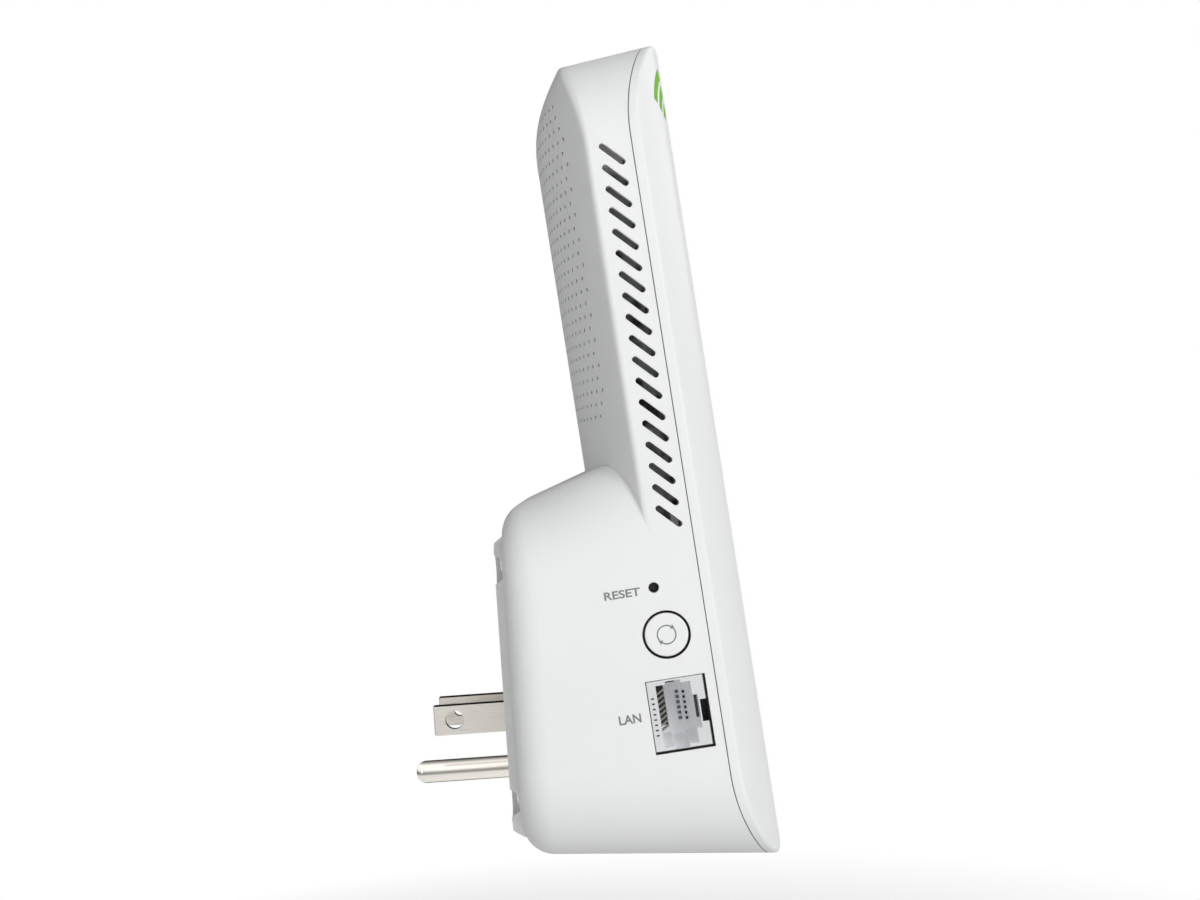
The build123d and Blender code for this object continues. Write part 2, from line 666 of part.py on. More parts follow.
COMB_SET_BACK = 0.8
COMB_DEPTH = 14.5
COMB_MARGIN = 0.55
jack_forward = JACK_PLACE[0] - JACK_SHIFT
jack_up = JACK_PLACE[1] + JACK_SHIFT
jack_low = jack_forward - JACK_NOSE[0] / 2
cavity_low = PLUG_CAVITY_FORWARD - PLUG_CAVITY[0] / 2
cavity_high = PLUG_CAVITY_FORWARD + PLUG_CAVITY[0] / 2
contact_places = [jack_up + CONTACT_PITCH * (i - (CONTACT_COUNT - 1) / 2) for i in range(CONTACT_COUNT)]
comb_floor = jack_low + COMB_MARGIN

with BuildPart() as lan_jack_housing:
    with BuildSketch(PROFILE.offset(JACK_END)):
        with Locations((jack_low, jack_up)):
            Rectangle(BOARD_BACK - jack_low, JACK_NOSE[1], align=(Align.MIN, Align.CENTER))
    extrude(amount=JACK_SHOULDER - JACK_END)
    with BuildSketch(PROFILE.offset(JACK_SHOULDER)):
        with Locations((jack_forward, jack_up)):
            Rectangle(*JACK_NOSE)
    extrude(amount=JACK_FACE - JACK_SHOULDER)
    with BuildSketch(PROFILE.offset(JACK_FACE)):
        with Locations((PLUG_CAVITY_FORWARD, jack_up)):
            Rectangle(*PLUG_CAVITY)
        with Locations((cavity_high, jack_up)):
            Rectangle(*LATCH_SLOT, align=(Align.MIN, Align.CENTER))
        with Locations((PLUG_CAVITY_FORWARD, jack_up)):
            Rectangle(*SIDE_KEYS)
    extrude(amount=-PLUG_CAVITY_DEPTH, mode=Mode.SUBTRACT)
    with BuildSketch(PROFILE.offset(JACK_FACE)):
        with Locations((jack_low + JACK_NOSE[0], jack_up)):
            Rectangle(*EDGE_NOTCH, align=(Align.MAX, Align.CENTER))
    extrude(amount=-EDGE_NOTCH_DEPTH, mode=Mode.SUBTRACT)
    # comb slots that hold the contacts, set back from the socket's face
    with BuildSketch(PROFILE.offset(JACK_FACE - COMB_SET_BACK)):
        for up in contact_places:
            with Locations((comb_floor, up)):
                Rectangle(cavity_low - comb_floor + CLEARANCE, COMB_WIDTH, align=(Align.MIN, Align.CENTER))
    extrude(amount=-COMB_DEPTH, mode=Mode.SUBTRACT)
lan_jack_housing.part.label = "lan_jack_housing"
export_step(lan_jack_housing.part, "parts/lan_jack_housing.step")

contact_start = (comb_floor + CONTACT_THICKNESS, CONTACT_START - JACK_FACE)
contact_knee = (comb_floor + 2 * CONTACT_THICKNESS, CONTACT_KNEE - JACK_FACE)
contact_end = (cavity_low + CONTACT_REACH, CONTACT_END - JACK_FACE)

with BuildPart() as lan_jack_contacts:
    for up in contact_places:
        slice_plane = Plane(
            origin=body_point(0, up - CONTACT_WIDTH / 2, 0), x_dir=FORWARD, z_dir=UPWARD
        )
        with BuildSketch(slice_plane):
            with BuildLine():
                Polyline(contact_start, contact_knee, contact_end)
            trace(line_width=CONTACT_THICKNESS)
        extrude(amount=CONTACT_WIDTH)
lan_jack_contacts.part.label = "lan_jack_contacts"
export_step(lan_jack_contacts.part, "parts/lan_jack_contacts.step")


def board_block(x, up, low, size):
    """Block on the leaning body's board: centre x and up, lowest forward height, size x/up/forward."""
    with BuildPart() as block:
        with BuildSketch(FACE.offset(low)):
            with Locations((x, up)):
                Rectangle(size[0], size[1])
        extrude(amount=size[2])
    return block.part


MAGNETICS_X = -9.5
MAGNETICS_SIZE = (9.0, 13.0, 4.6)
MAGNETICS_CHAMFER = 0.5
LEG_STANDOFF = 0.6
LEG_SIZE = (1.8, 0.5)
LEG_GRID = (10.4, 1.27)

with BuildPart() as lan_magnetics:
    add(board_block(MAGNETICS_X, jack_up, BOARD_BACK - LEG_STANDOFF - MAGNETICS_SIZE[2], MAGNETICS_SIZE))
    chamfer(edges().filter_by(GeomType.LINE).group_by(Axis.Y)[-1], MAGNETICS_CHAMFER)
    with BuildSketch(FACE.offset(BOARD_BACK - LEG_STANDOFF)):
        with Locations((MAGNETICS_X, jack_up)):
            with GridLocations(*LEG_GRID, 2, 8):
                Rectangle(*LEG_SIZE)
    extrude(amount=LEG_STANDOFF)
lan_magnetics.part.label = "lan_magnetics"
export_step(lan_magnetics.part, "parts/lan_magnetics.step")

# ---------------------------------------------------------------- main board
SPREADER_PLACES = [(x, up) for x in (-24.0, 24.0) for up in (-6.0, 40.0)]
SPREADER_LOW = 9.4
SPREADER_THICKNESS = 1.2
SPREADER_SIZE = (58.0, 56.0)
SPREADER_UP = 17.0
CAN_SIZE = (26.0, 22.0)
CAN_HEIGHT = 2.4
CAN_WALL = 0.3
CAN_CORNER = 1.0
BOARD_CORNER = 14.3
CAN_PLACES = {"shield_can_upper": (0.0, 30.0), "shield_can_lower": (0.0, 4.0)}

with BuildPart() as main_board:
    with BuildSketch(FACE.offset(BOARD_BACK)):
        with Locations((0, (BOARD_TOP + BOARD_BOTTOM) / 2)):
            RectangleRounded(2 * BOARD_HALF_WIDTH, BOARD_TOP - BOARD_BOTTOM, BOARD_CORNER)
        with Locations(*BOSS_PLACES):
            Circle(SCREW_HOLE_RADIUS, mode=Mode.SUBTRACT)
        with Locations(*SPREADER_PLACES):
            Circle(SCREW_HOLE_RADIUS, mode=Mode.SUBTRACT)
    extrude(amount=BOARD_THICKNESS)
main_board.part.label = "main_board"
export_step(main_board.part, "parts/main_board.step")


PAN_HEAD_RADIUS = 2.1
PAN_HEAD_HEIGHT = 1.4
RECESS_SIZE = (2.7, 0.6)
RECESS_DEPTH = 0.7


def pan_screws(plane, places, shank_length):
    """Cross-recessed pan-head screws: heads behind the plane, shanks running forward of it."""
    with BuildPart() as screws:
        with BuildSketch(plane):
            with Locations(*places):
                Circle(PAN_HEAD_RADIUS)
        extrude(amount=-PAN_HEAD_HEIGHT)
        with BuildSketch(plane.offset(-PAN_HEAD_HEIGHT)):
            with Locations(*places):
                Rectangle(*RECESS_SIZE)
                Rectangle(*RECESS_SIZE, rotation=90)
        extrude(amount=RECESS_DEPTH, mode=Mode.SUBTRACT)
        with BuildSketch(plane):
            with Locations(*places):
                Circle(SCREW_RADIUS)
        extrude(amount=shank_length)
    return screws.part


board_screws = pan_screws(FACE.offset(BOARD_BACK), BOSS_PLACES, 4.8)
board_screws.label = "board_screws"
export_step(board_screws, "parts/board_screws.step")

# ---------------------------------------------------------------- heat spreader and shields
FLANGE_HEIGHT = 1.6
SPACER_RADIUS = 2.3
PAD_SIZE = (18.0, 14.0)

with BuildPart() as heat_spreader:
    with BuildSketch(FACE.offset(SPREADER_LOW)):
        with Locations((0, SPREADER_UP)):
            RectangleRounded(*SPREADER_SIZE, WALL)
        with Locations(*SPREADER_PLACES):
            Circle(SCREW_HOLE_RADIUS, mode=Mode.SUBTRACT)
    extrude(amount=SPREADER_THICKNESS)
    with BuildSketch(FACE.offset(SPREADER_LOW + SPREADER_THICKNESS)):
        with Locations((0, SPREADER_UP)):
            with GridLocations(SPREADER_SIZE[0] - SPREADER_THICKNESS, 0, 2, 1):
                Rectangle(SPREADER_THICKNESS, SPREADER_SIZE[1] - 4 * WALL)
    extrude(amount=FLANGE_HEIGHT)
heat_spreader.part.label = "heat_spreader"
export_step(heat_spreader.part, "parts/heat_spreader.step")

with BuildPart() as spreader_spacers:
    with BuildSketch(FACE.offset(SPREADER_LOW + SPREADER_THICKNESS)):
        with Locations(*SPREADER_PLACES):
            RegularPolygon(SPACER_RADIUS, 6)
            Circle(PILOT_RADIUS, mode=Mode.SUBTRACT)
    extrude(amount=BOARD_BACK - SPREADER_LOW - SPREADER_THICKNESS)
spreader_spacers.part.label = "spreader_spacers"
export_step(spreader_spacers.part, "parts/spreader_spacers.step")

spreader_screws = pan_screws(FACE.offset(SPREADER_LOW), SPREADER_PLACES, 4.4)
spreader_screws.label = "spreader_screws"
export_step(spreader_screws, "parts/spreader_screws.step")


def shield_can(place):
    """Folded tin box standing on the board's back, open towards the board."""
    with BuildPart() as can:
        with BuildSketch(FACE.offset(BOARD_BACK - CAN_HEIGHT)):
            with Locations(place):
                RectangleRounded(*CAN_SIZE, CAN_CORNER)
        extrude(amount=CAN_HEIGHT)
        with BuildSketch(FACE.offset(BOARD_BACK - CAN_HEIGHT + CAN_WALL)):
            with Locations(place):
                RectangleRounded(CAN_SIZE[0] - 2 * CAN_WALL, CAN_SIZE[1] - 2 * CAN_WALL, CAN_CORNER - CAN_WALL)
        extrude(amount=CAN_HEIGHT, mode=Mode.SUBTRACT)
    return can.part


for can_name, can_place in CAN_PLACES.items():
    shield = shield_can(can_place)
    shield.label = can_name
    export_step(shield, "parts/" + can_name + ".step")

with BuildPart() as thermal_pads:
    with BuildSketch(FACE.offset(SPREADER_LOW + SPREADER_THICKNESS)):
        with Locations(*CAN_PLACES.values()):
            Rectangle(*PAD_SIZE)
    extrude(amount=BOARD_BACK - CAN_HEIGHT - SPREADER_LOW - SPREADER_THICKNESS)
thermal_pads.part.label = "thermal_pads"
export_step(thermal_pads.part, "parts/thermal_pads.step")

# place of each chip's centre (x, up) and its size (x, up, thickness)
MAIN_CHIPS = (
    ((0, 4), (13, 13, 1.2)),
    ((-6.5, 30), (8, 8, 0.9)),
    ((6.5, 30), (8, 8, 0.9)),
    ((-22, -24), (8, 12, 1.1)),
    ((-6, -28), (6, 5, 1.4)),
)

with BuildPart() as main_chips:
    for chip_place, chip_size in MAIN_CHIPS:
        add(board_block(*chip_place, BOARD_BACK - chip_size[2], chip_size))
main_chips.part.label = "main_chips"
export_step(main_chips.part, "parts/main_chips.step")

CHIP_CAPACITOR_PLACES = [(x, up) for x in (8, 17) for up in (-42, -62)]
CHIP_CAPACITOR_RADIUS = 3.1
CHIP_CAPACITOR_HEIGHT = 5.4
CHIP_CAPACITOR_FOOT = 6.6
CHIP_CAPACITOR_FOOT_HEIGHT = 1.0

with BuildPart() as board_capacitors:
    with BuildSketch(FACE.offset(BOARD_BACK - CHIP_CAPACITOR_HEIGHT)):
        with Locations(*CHIP_CAPACITOR_PLACES):
            Circle(CHIP_CAPACITOR_RADIUS)
    extrude(amount=CHIP_CAPACITOR_HEIGHT)
    with BuildSketch(FACE.offset(BOARD_BACK - CHIP_CAPACITOR_FOOT_HEIGHT)):
        with Locations(*CHIP_CAPACITOR_PLACES):
            Rectangle(CHIP_CAPACITOR_FOOT, CHIP_CAPACITOR_FOOT)
    extrude(amount=CHIP_CAPACITOR_FOOT_HEIGHT)
board_capacitors.part.label = "board_capacitors"
export_step(board_capacitors.part, "parts/board_capacitors.step")

# ---------------------------------------------------------------- antennas
ANTENNA_THICKNESS = 0.6
SIDE_ANTENNA_X = 35.4
SIDE_ANTENNA_UP = 34.0
SIDE_ANTENNA_FORWARD = 10.4
SIDE_ANTENNA_SIZE = (5.2, 30.0)
TOP_ANTENNA_X = 16.0
TOP_ANTENNA_FORWARD = 9.0
TOP_ANTENNA_SIZE = (22.0, 8.0)
TOP_ANTENNA_UP = 71.0
CABLE_FORWARD = 13.5
CABLE_RADIUS = 0.55
CONNECTOR_RADIUS = 1.2
CONNECTOR_LOW = CABLE_FORWARD - 0.6
CONNECTOR_PLACES = [(-17.0, 32.0), (17.0, 32.0), (-6.0, 46.0), (6.0, 46.0)]

with BuildPart() as side_antennas:
    for side in (-SIDE_ANTENNA_X - ANTENNA_THICKNESS, SIDE_ANTENNA_X):
        with BuildSketch(PROFILE.offset(-side)):
            with Locations((SIDE_ANTENNA_FORWARD, SIDE_ANTENNA_UP)):
                Rectangle(*SIDE_ANTENNA_SIZE)
        extrude(amount=-ANTENNA_THICKNESS)
side_antennas.part.label = "side_antennas"
export_step(side_antennas.part, "parts/side_antennas.step")

with BuildPart() as top_antennas:
    with BuildSketch(SECTION.offset(-TOP_ANTENNA_UP)):
        with Locations((0, TOP_ANTENNA_FORWARD)):
            with GridLocations(2 * TOP_ANTENNA_X, 0, 2, 1):
                Rectangle(*TOP_ANTENNA_SIZE)
    extrude(amount=-ANTENNA_THICKNESS)
top_antennas.part.label = "top_antennas"
export_step(top_antennas.part, "parts/top_antennas.step")

with BuildPart() as antenna_connectors:
    with BuildSketch(FACE.offset(CONNECTOR_LOW)):
        with Locations(*CONNECTOR_PLACES):
            Circle(CONNECTOR_RADIUS)
    extrude(amount=BOARD_BACK - CONNECTOR_LOW)
antenna_connectors.part.label = "antenna_connectors"
export_step(antenna_connectors.part, "parts/antenna_connectors.step")


def cable(points, radius, start_direction, end_direction):
    """Round cable along a smooth curve through world points."""
    with BuildPart() as wire:
        with BuildLine():
            path = Spline(*points, tangents=(start_direction, end_direction))
        with BuildSketch(Plane(origin=path @ 0, z_dir=path % 0)):
            Circle(radius)
        sweep()
    return wire.part


with BuildPart() as antenna_cables:
    for side in (-1, 1):
        side_run = [
            body_point(side * (SIDE_ANTENNA_X - 0.05), 24.0, CABLE_FORWARD),
            body_point(side * 29.0, 29.0, CABLE_FORWARD),
            body_point(side * 18.3, 32.0, CABLE_FORWARD),
        ]
        add(cable(side_run, CABLE_RADIUS, Vector(-side, 0, 0), Vector(-side, 0, 0)))
        top_run = [
            body_point(side * 14.0, TOP_ANTENNA_UP - 0.05, CABLE_FORWARD - 1.2),
            body_point(side * 12.0, 60.0, CABLE_FORWARD - 0.5),
            body_point(side * 6.0, 47.3, CABLE_FORWARD),
        ]
        add(cable(top_run, CABLE_RADIUS, UPWARD * -1, UPWARD * -1))
antenna_cables.part.label = "antenna_cables"
export_step(antenna_cables.part, "parts/antenna_cables.step")

# ---------------------------------------------------------------- signal light
LENS_BASE_THICKNESS = 0.9
lens_base_side = SEAM_SIDE + SEAM_GAP / 2 - CLEARANCE
LENS_BAND = 10.0
GUIDE_RADIUS = 11.0
GUIDE_BAND = 8.2
GUIDE_HALF_ANGLE = 24.0
LED_RADIUS = 4.6
LED_ANGLES = (-15.0, 15.0)      # either side of the arcs' middle
LED_SIZE = (1.0, 1.8)
LED_HEIGHT = 0.7
led_places = [around_arcs(LED_RADIUS, ARC_MIDDLE + angle) for angle in LED_ANGLES]
lens_under = crowned_prism(lens_base_side - LENS_BASE_THICKNESS, -WALL)
lens_base_top = crowned_prism(lens_base_side, 0)
guide_top = crowned_prism(lens_base_side - LENS_BASE_THICKNESS - CLEARANCE, 0)
lens_arcs = arc_prism(TONGUE_LOW, 0)
lens_sector = arc_sketch(FACE, ARC_OUTER_RADII[0], LENS_BAND, ARC_HALF_ANGLE)

with BuildPart() as lens_base:
    extrude(lens_sector, amount=FAR)
    add(lens_base_top, mode=Mode.INTERSECT)

with BuildPart() as signal_lens:
    add(lens_arcs)
    add(cover_top, mode=Mode.INTERSECT)
    add(lens_base.part)
    add(lens_under, mode=Mode.SUBTRACT)
signal_lens.part.label = "signal_lens"
export_step(signal_lens.part, "parts/signal_lens.step")

with BuildPart() as light_guide:
    with BuildSketch(FACE.offset(BOARD_FRONT + LED_HEIGHT + CLEARANCE)):
        add(arc_sketch(Plane.XY, GUIDE_RADIUS, GUIDE_BAND, GUIDE_HALF_ANGLE))
    extrude(amount=HALF_WIDTH)
    add(guide_top, mode=Mode.INTERSECT)
light_guide.part.label = "light_guide"
export_step(light_guide.part, "parts/light_guide.step")

with BuildPart() as signal_leds:
    with BuildSketch(FACE.offset(BOARD_FRONT)):
        with Locations(*led_places):
            Rectangle(*LED_SIZE)
    extrude(amount=LED_HEIGHT)
signal_leds.part.label = "signal_leds"
export_step(signal_leds.part, "parts/signal_leds.step")

# ---------------------------------------------------------------- insulating sheet
SHEET_FORWARD = 7.0
SHEET_CENTRE = (0.5, -46.0)
SHEET_SIZE = (31.0, 54.0)
SHEET_CORNER = 3.0
SHEET_THICKNESS = 0.3

with BuildPart() as insulator_sheet:
    with BuildSketch(FACE.offset(SHEET_FORWARD)):
        with Locations(SHEET_CENTRE):
            RectangleRounded(*SHEET_SIZE, SHEET_CORNER)
    extrude(amount=SHEET_THICKNESS)
insulator_sheet.part.label = "insulator_sheet"
export_step(insulator_sheet.part, "parts/insulator_sheet.step")

# ---------------------------------------------------------------- power board and its parts
POWER_FRONT = POWER_BOARD_DEPTH + POWER_BOARD_THICKNESS
POWER_FACE = WALL_FACE.offset(POWER_FRONT)
POWER_BOARD_SIZE = (62.0, 50.0)
POWER_BOARD_CENTRE = (0.0, 8.0)
POWER_BOARD_CORNER = 3.0

with BuildPart() as power_board:
    with BuildSketch(WALL_FACE.offset(POWER_BOARD_DEPTH)):
        with Locations(POWER_BOARD_CENTRE):
            RectangleRounded(*POWER_BOARD_SIZE, POWER_BOARD_CORNER)
        with Locations(*STANDOFF_PLACES):
            Circle(SCREW_HOLE_RADIUS, mode=Mode.SUBTRACT)
    extrude(amount=POWER_BOARD_THICKNESS)
power_board.part.label = "power_board"
export_step(power_board.part, "parts/power_board.step")

facing_wall = Plane(origin=(0, -POWER_FRONT, 0), x_dir=(1, 0, 0), z_dir=(0, 1, 0))
power_board_screws = pan_screws(facing_wall, [(x, -z) for x, z in STANDOFF_PLACES], 8.0)
power_board_screws.label = "power_board_screws"
export_step(power_board_screws, "parts/power_board_screws.step")


CAN_EDGE_ROUND = 0.5


def upright_cans(places, radius, height):
    """Electrolytic capacitors standing on the power board, with rolled top edges."""
    with BuildPart() as cans:
        with BuildSketch(POWER_FACE):
            with Locations(*places):
                Circle(radius)
        extrude(amount=height)
        fillet(edges().group_by(Axis.Y)[0], CAN_EDGE_ROUND)
    return cans.part


bulk_capacitors = upright_cans([(-5, 24), (7, 24)], 5.0, 14.0)
bulk_capacitors.label = "bulk_capacitors"
export_step(bulk_capacitors, "parts/bulk_capacitors.step")
output_capacitors = upright_cans([(26, 8), (19, -10)], 4.0, 11.0)
output_capacitors.label = "output_capacitors"
export_step(output_capacitors, "parts/output_capacitors.step")


def power_block(x, z, low, size):
    """Block on the power board: centre x and z, height off the board, size x/z/forward."""
    with BuildPart() as block:
        with BuildSketch(POWER_FACE.offset(low)):
            with Locations((x, z)):
                Rectangle(size[0], size[1])
        extrude(amount=size[2])
    return block.part


TRANSFORMER = (12.0, 6.0)
CORE_BLOCK = (18.0, 6.0, 14.5)
CORE_WINDOW = (12.4, 6.0, 9.4)
WINDING_BLOCK = (12.2, 13.0, 9.2)
BOBBIN_END = (15.0, 1.2, 13.5)
BOBBIN_REACH = 7.1
CORE_LOW = 0.5
WINDOW_LOW = 3.0
WINDING_LOW = WINDOW_LOW + (CORE_WINDOW[2] - WINDING_BLOCK[2]) / 2

with BuildPart() as transformer_core:
    add(power_block(*TRANSFORMER, CORE_LOW, CORE_BLOCK))
    add(power_block(*TRANSFORMER, WINDOW_LOW, CORE_WINDOW), mode=Mode.SUBTRACT)
transformer_core.part.label = "transformer_core"
export_step(transformer_core.part, "parts/transformer_core.step")

transformer_winding = power_block(*TRANSFORMER, WINDING_LOW, WINDING_BLOCK)
transformer_winding.label = "transformer_winding"
export_step(transformer_winding, "parts/transformer_winding.step")

with BuildPart() as transformer_bobbin:
    for side in (-1, 1):
        add(power_block(TRANSFORMER[0], TRANSFORMER[1] + side * BOBBIN_REACH, 0, BOBBIN_END))
transformer_bobbin.part.label = "transformer_bobbin"
export_step(transformer_bobbin.part, "parts/transformer_bobbin.step")

CHOKE_PLACE = (-19.0, 19.0)
CHOKE_RADIUS = 4.0
CHOKE_HEIGHT = 2.8
CHOKE_BAR_RADIUS = 1.8
WINDING_RADIUS = 2.6
WINDING_ANGLE = 140
choke_centre = (CHOKE_PLACE[0], -POWER_FRONT - CHOKE_HEIGHT, CHOKE_PLACE[1])
choke_axis = Axis(choke_centre, (0, 1, 0))

with BuildPart() as choke_core:
    with BuildSketch(Plane(origin=choke_centre, x_dir=(1, 0, 0), z_dir=(0, 0, 1))):
        with Locations((CHOKE_RADIUS, 0)):
            Circle(CHOKE_BAR_RADIUS)
    revolve(axis=choke_axis)
choke_core.part.label = "choke_core"
export_step(choke_core.part, "parts/choke_core.step")

with BuildPart() as choke_windings:
    for side in (-1, 1):
        with BuildSketch(Plane(origin=choke_centre, x_dir=(side, 0, 0), z_dir=(0, 0, side))):
            with Locations((CHOKE_RADIUS, 0)):
                Circle(WINDING_RADIUS)
                Circle(CHOKE_BAR_RADIUS + CLEARANCE, mode=Mode.SUBTRACT)
        revolve(axis=choke_axis, revolution_arc=WINDING_ANGLE)
choke_windings.part.label = "choke_windings"
export_step(choke_windings.part, "parts/choke_windings.step")

x_capacitor = power_block(-20, 4, 0, (12, 6, 10))
x_capacitor.label = "x_capacitor"
export_step(x_capacitor, "parts/x_capacitor.step")


DISC_GAP = 0.6
DISC_LEG_RADIUS = 0.3
DISC_EDGE = 0.35                # edge rounding as a share of the thickness


def standing_disc(x, z, radius, thickness):
    """Disc-shaped part standing on edge on the power board."""
    with BuildPart() as disc:
        with BuildSketch(Plane(origin=(x, -POWER_FRONT - radius - DISC_GAP, z - thickness / 2), x_dir=(1, 0, 0))):
            Circle(radius)
        extrude(amount=thickness)
        fillet(edges(), thickness * DISC_EDGE)
        with BuildSketch(POWER_FACE):
            with Locations((x - radius / 2, z), (x + radius / 2, z)):
                Circle(DISC_LEG_RADIUS)
        extrude(amount=radius)
    return disc.part


varistor = standing_disc(-6, -10, 4.5, 3.5)
varistor.label = "varistor"
export_step(varistor, "parts/varistor.step")
y_capacitor = standing_disc(10, -8, 3.4, 3.0)
y_capacitor.label = "y_capacitor"
export_step(y_capacitor, "parts/y_capacitor.step")

FUSE_CENTRE = (-20.0, -7.0)
FUSE_LENGTH = 10.0
FUSE_RADIUS = 1.9
FUSE_HEIGHT = 2.4
FUSE_LEG_RADIUS = 0.35
FUSE_LEG_SPACING = 8.0
fuse_end = (FUSE_CENTRE[0] - FUSE_LENGTH / 2, -POWER_FRONT - FUSE_HEIGHT, FUSE_CENTRE[1])

with BuildPart() as fuse:
    with BuildSketch(Plane(origin=fuse_end, x_dir=(0, 1, 0), z_dir=(1, 0, 0))):
        Circle(FUSE_RADIUS)
    extrude(amount=FUSE_LENGTH)
    with BuildSketch(POWER_FACE):
        with Locations(FUSE_CENTRE):
            with GridLocations(FUSE_LEG_SPACING, 0, 2, 1):
                Circle(FUSE_LEG_RADIUS)
    extrude(amount=FUSE_HEIGHT)
fuse.part.label = "fuse"
export_step(fuse.part, "parts/fuse.step")

BRIDGE_PLACE = (-8.0, 8.0)
BRIDGE_SIZE = (7.0, 3.0, 8.0)
BRIDGE_CORNER = 0.8
BRIDGE_LEG_HEIGHT = 1.5
BRIDGE_LEG_PITCH = 1.8
BRIDGE_LEG_SIZE = (0.6, 0.5)

with BuildPart() as bridge_rectifier:
    add(power_block(*BRIDGE_PLACE, BRIDGE_LEG_HEIGHT, BRIDGE_SIZE))
    chamfer(edges().filter_by(Axis.Y).group_by(Axis.X)[0].sort_by(Axis.Z)[0], BRIDGE_CORNER)
    with BuildSketch(POWER_FACE):
        with Locations(BRIDGE_PLACE):
            with GridLocations(BRIDGE_LEG_PITCH, 0, 4, 1):
                Rectangle(*BRIDGE_LEG_SIZE)
    extrude(amount=BRIDGE_LEG_HEIGHT)
bridge_rectifier.part.label = "bridge_rectifier"
export_step(bridge_rectifier.part, "parts/bridge_rectifier.step")

POWER_CHIP_PLACE = (1.0, -2.5)
POWER_CHIP_SIZE = (7.0, 5.0, 3.2)
POWER_CHIP_GAP = 0.6
POWER_CHIP_LEGS = (1.9, 5.6)
POWER_CHIP_LEG = (0.6, 0.6, 2.0)

with BuildPart() as power_chip:
    add(power_block(*POWER_CHIP_PLACE, POWER_CHIP_GAP, POWER_CHIP_SIZE))
    with BuildSketch(POWER_FACE):
        with Locations(POWER_CHIP_PLACE):
            with GridLocations(*POWER_CHIP_LEGS, 4, 2):
                Rectangle(*POWER_CHIP_LEG[:2])
    extrude(amount=POWER_CHIP_LEG[2])
power_chip.part.label = "power_chip"
export_step(power_chip.part, "parts/power_chip.step")

# ---------------------------------------------------------------- wiring
POWER_HEADER = (20.0, 24.0)
MAIN_HEADER = (20.0, -24.0)
HEADER_SIZE = (6.5, 5.0, 5.6)
WIRE_SPACING = 2.5
WIRE_RADIUS = 0.75
CABLE_PULL = 10.0               # how straight the cable leaves its headers
MAINS_PULL = 3.0

power_header = power_block(*POWER_HEADER, 0, HEADER_SIZE)
power_header.label = "power_header"
export_step(power_header, "parts/power_header.step")
main_header = board_block(*MAIN_HEADER, BOARD_BACK - HEADER_SIZE[2], HEADER_SIZE)
main_header.label = "main_header"
export_step(main_header, "parts/main_header.step")

with BuildPart() as dc_cable:
    for side in (-0.5, 0.5):
        x = POWER_HEADER[0] + side * WIRE_SPACING
        run_start = Vector(x, -POWER_FRONT - HEADER_SIZE[2] - CLEARANCE, POWER_HEADER[1])
        run_end = body_point(x, MAIN_HEADER[1], BOARD_BACK - HEADER_SIZE[2] - CLEARANCE)
        add(cable([run_start, run_end], WIRE_RADIUS, Vector(0, -CABLE_PULL, 0), FORWARD * CABLE_PULL))
dc_cable.part.label = "dc_cable"
export_step(dc_cable.part, "parts/dc_cable.step")


def mains_wire(start, end):
    """Short wire from the back of the plug to the power board."""
    first = Vector(start[0], -INNER_TAB_DEPTH - CLEARANCE, start[1])
    last = Vector(end[0], -POWER_BOARD_DEPTH + CLEARANCE, end[1])
    return cable([first, last], WIRE_RADIUS, Vector(0, -MAINS_PULL, 0), Vector(0, -MAINS_PULL, 0))


live_wire = mains_wire((-BLADE_SPACING / 2, 0), (-14, -6))
live_wire.label = "live_wire"
export_step(live_wire, "parts/live_wire.step")
neutral_wire = mains_wire((BLADE_SPACING / 2, 0), (14, 6))
neutral_wire.label = "neutral_wire"
export_step(neutral_wire, "parts/neutral_wire.step")
ground_wire = mains_wire((0, -PIN_DROP), (7, -8))
ground_wire.label = "ground_wire"
export_step(ground_wire, "parts/ground_wire.step")
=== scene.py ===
"""Looks for the plug-in wifi range extender: finishes, printed marks, floor, light and camera."""
import json
import math

import bmesh
import bpy
from mathutils import Matrix, Vector

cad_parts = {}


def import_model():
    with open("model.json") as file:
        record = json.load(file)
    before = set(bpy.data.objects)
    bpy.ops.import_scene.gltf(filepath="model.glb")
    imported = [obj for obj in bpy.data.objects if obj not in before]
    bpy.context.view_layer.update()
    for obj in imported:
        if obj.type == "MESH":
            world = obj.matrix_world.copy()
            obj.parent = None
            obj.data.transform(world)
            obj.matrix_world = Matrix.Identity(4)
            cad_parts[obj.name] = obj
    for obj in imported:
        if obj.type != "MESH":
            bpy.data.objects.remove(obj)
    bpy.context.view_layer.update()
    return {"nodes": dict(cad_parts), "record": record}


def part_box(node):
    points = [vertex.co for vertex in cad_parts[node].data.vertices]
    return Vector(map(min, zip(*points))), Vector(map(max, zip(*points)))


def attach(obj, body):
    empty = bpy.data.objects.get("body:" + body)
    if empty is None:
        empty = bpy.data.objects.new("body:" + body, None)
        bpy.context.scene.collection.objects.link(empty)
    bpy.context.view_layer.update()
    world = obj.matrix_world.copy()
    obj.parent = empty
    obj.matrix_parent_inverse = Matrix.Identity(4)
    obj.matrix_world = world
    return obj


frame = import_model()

MM = 0.001
MICRON = 0.000001
NODES = frame["nodes"]

# The leaning body's own directions: forward out of its face, upward along it.
TILT = math.radians(4.9)
FORWARD = Vector((0, -math.cos(TILT), math.sin(TILT)))
UPWARD = Vector((0, math.sin(TILT), math.cos(TILT)))
BODY_ORIGIN = Vector((0, -22.9, 54.83)) * MM

# Places on the leaning body, in millimetres across, up and forward.
SIDE_X = -40.0
JACK_UP = -52.42
CONTACT_COUNT = 8
CONTACT_PITCH = 1.02


def body_point(x, up, forward):
    """World position of a place on the leaning body given in millimetres."""
    return BODY_ORIGIN + (Vector((x, 0, 0)) + UPWARD * up + FORWARD * forward) * MM


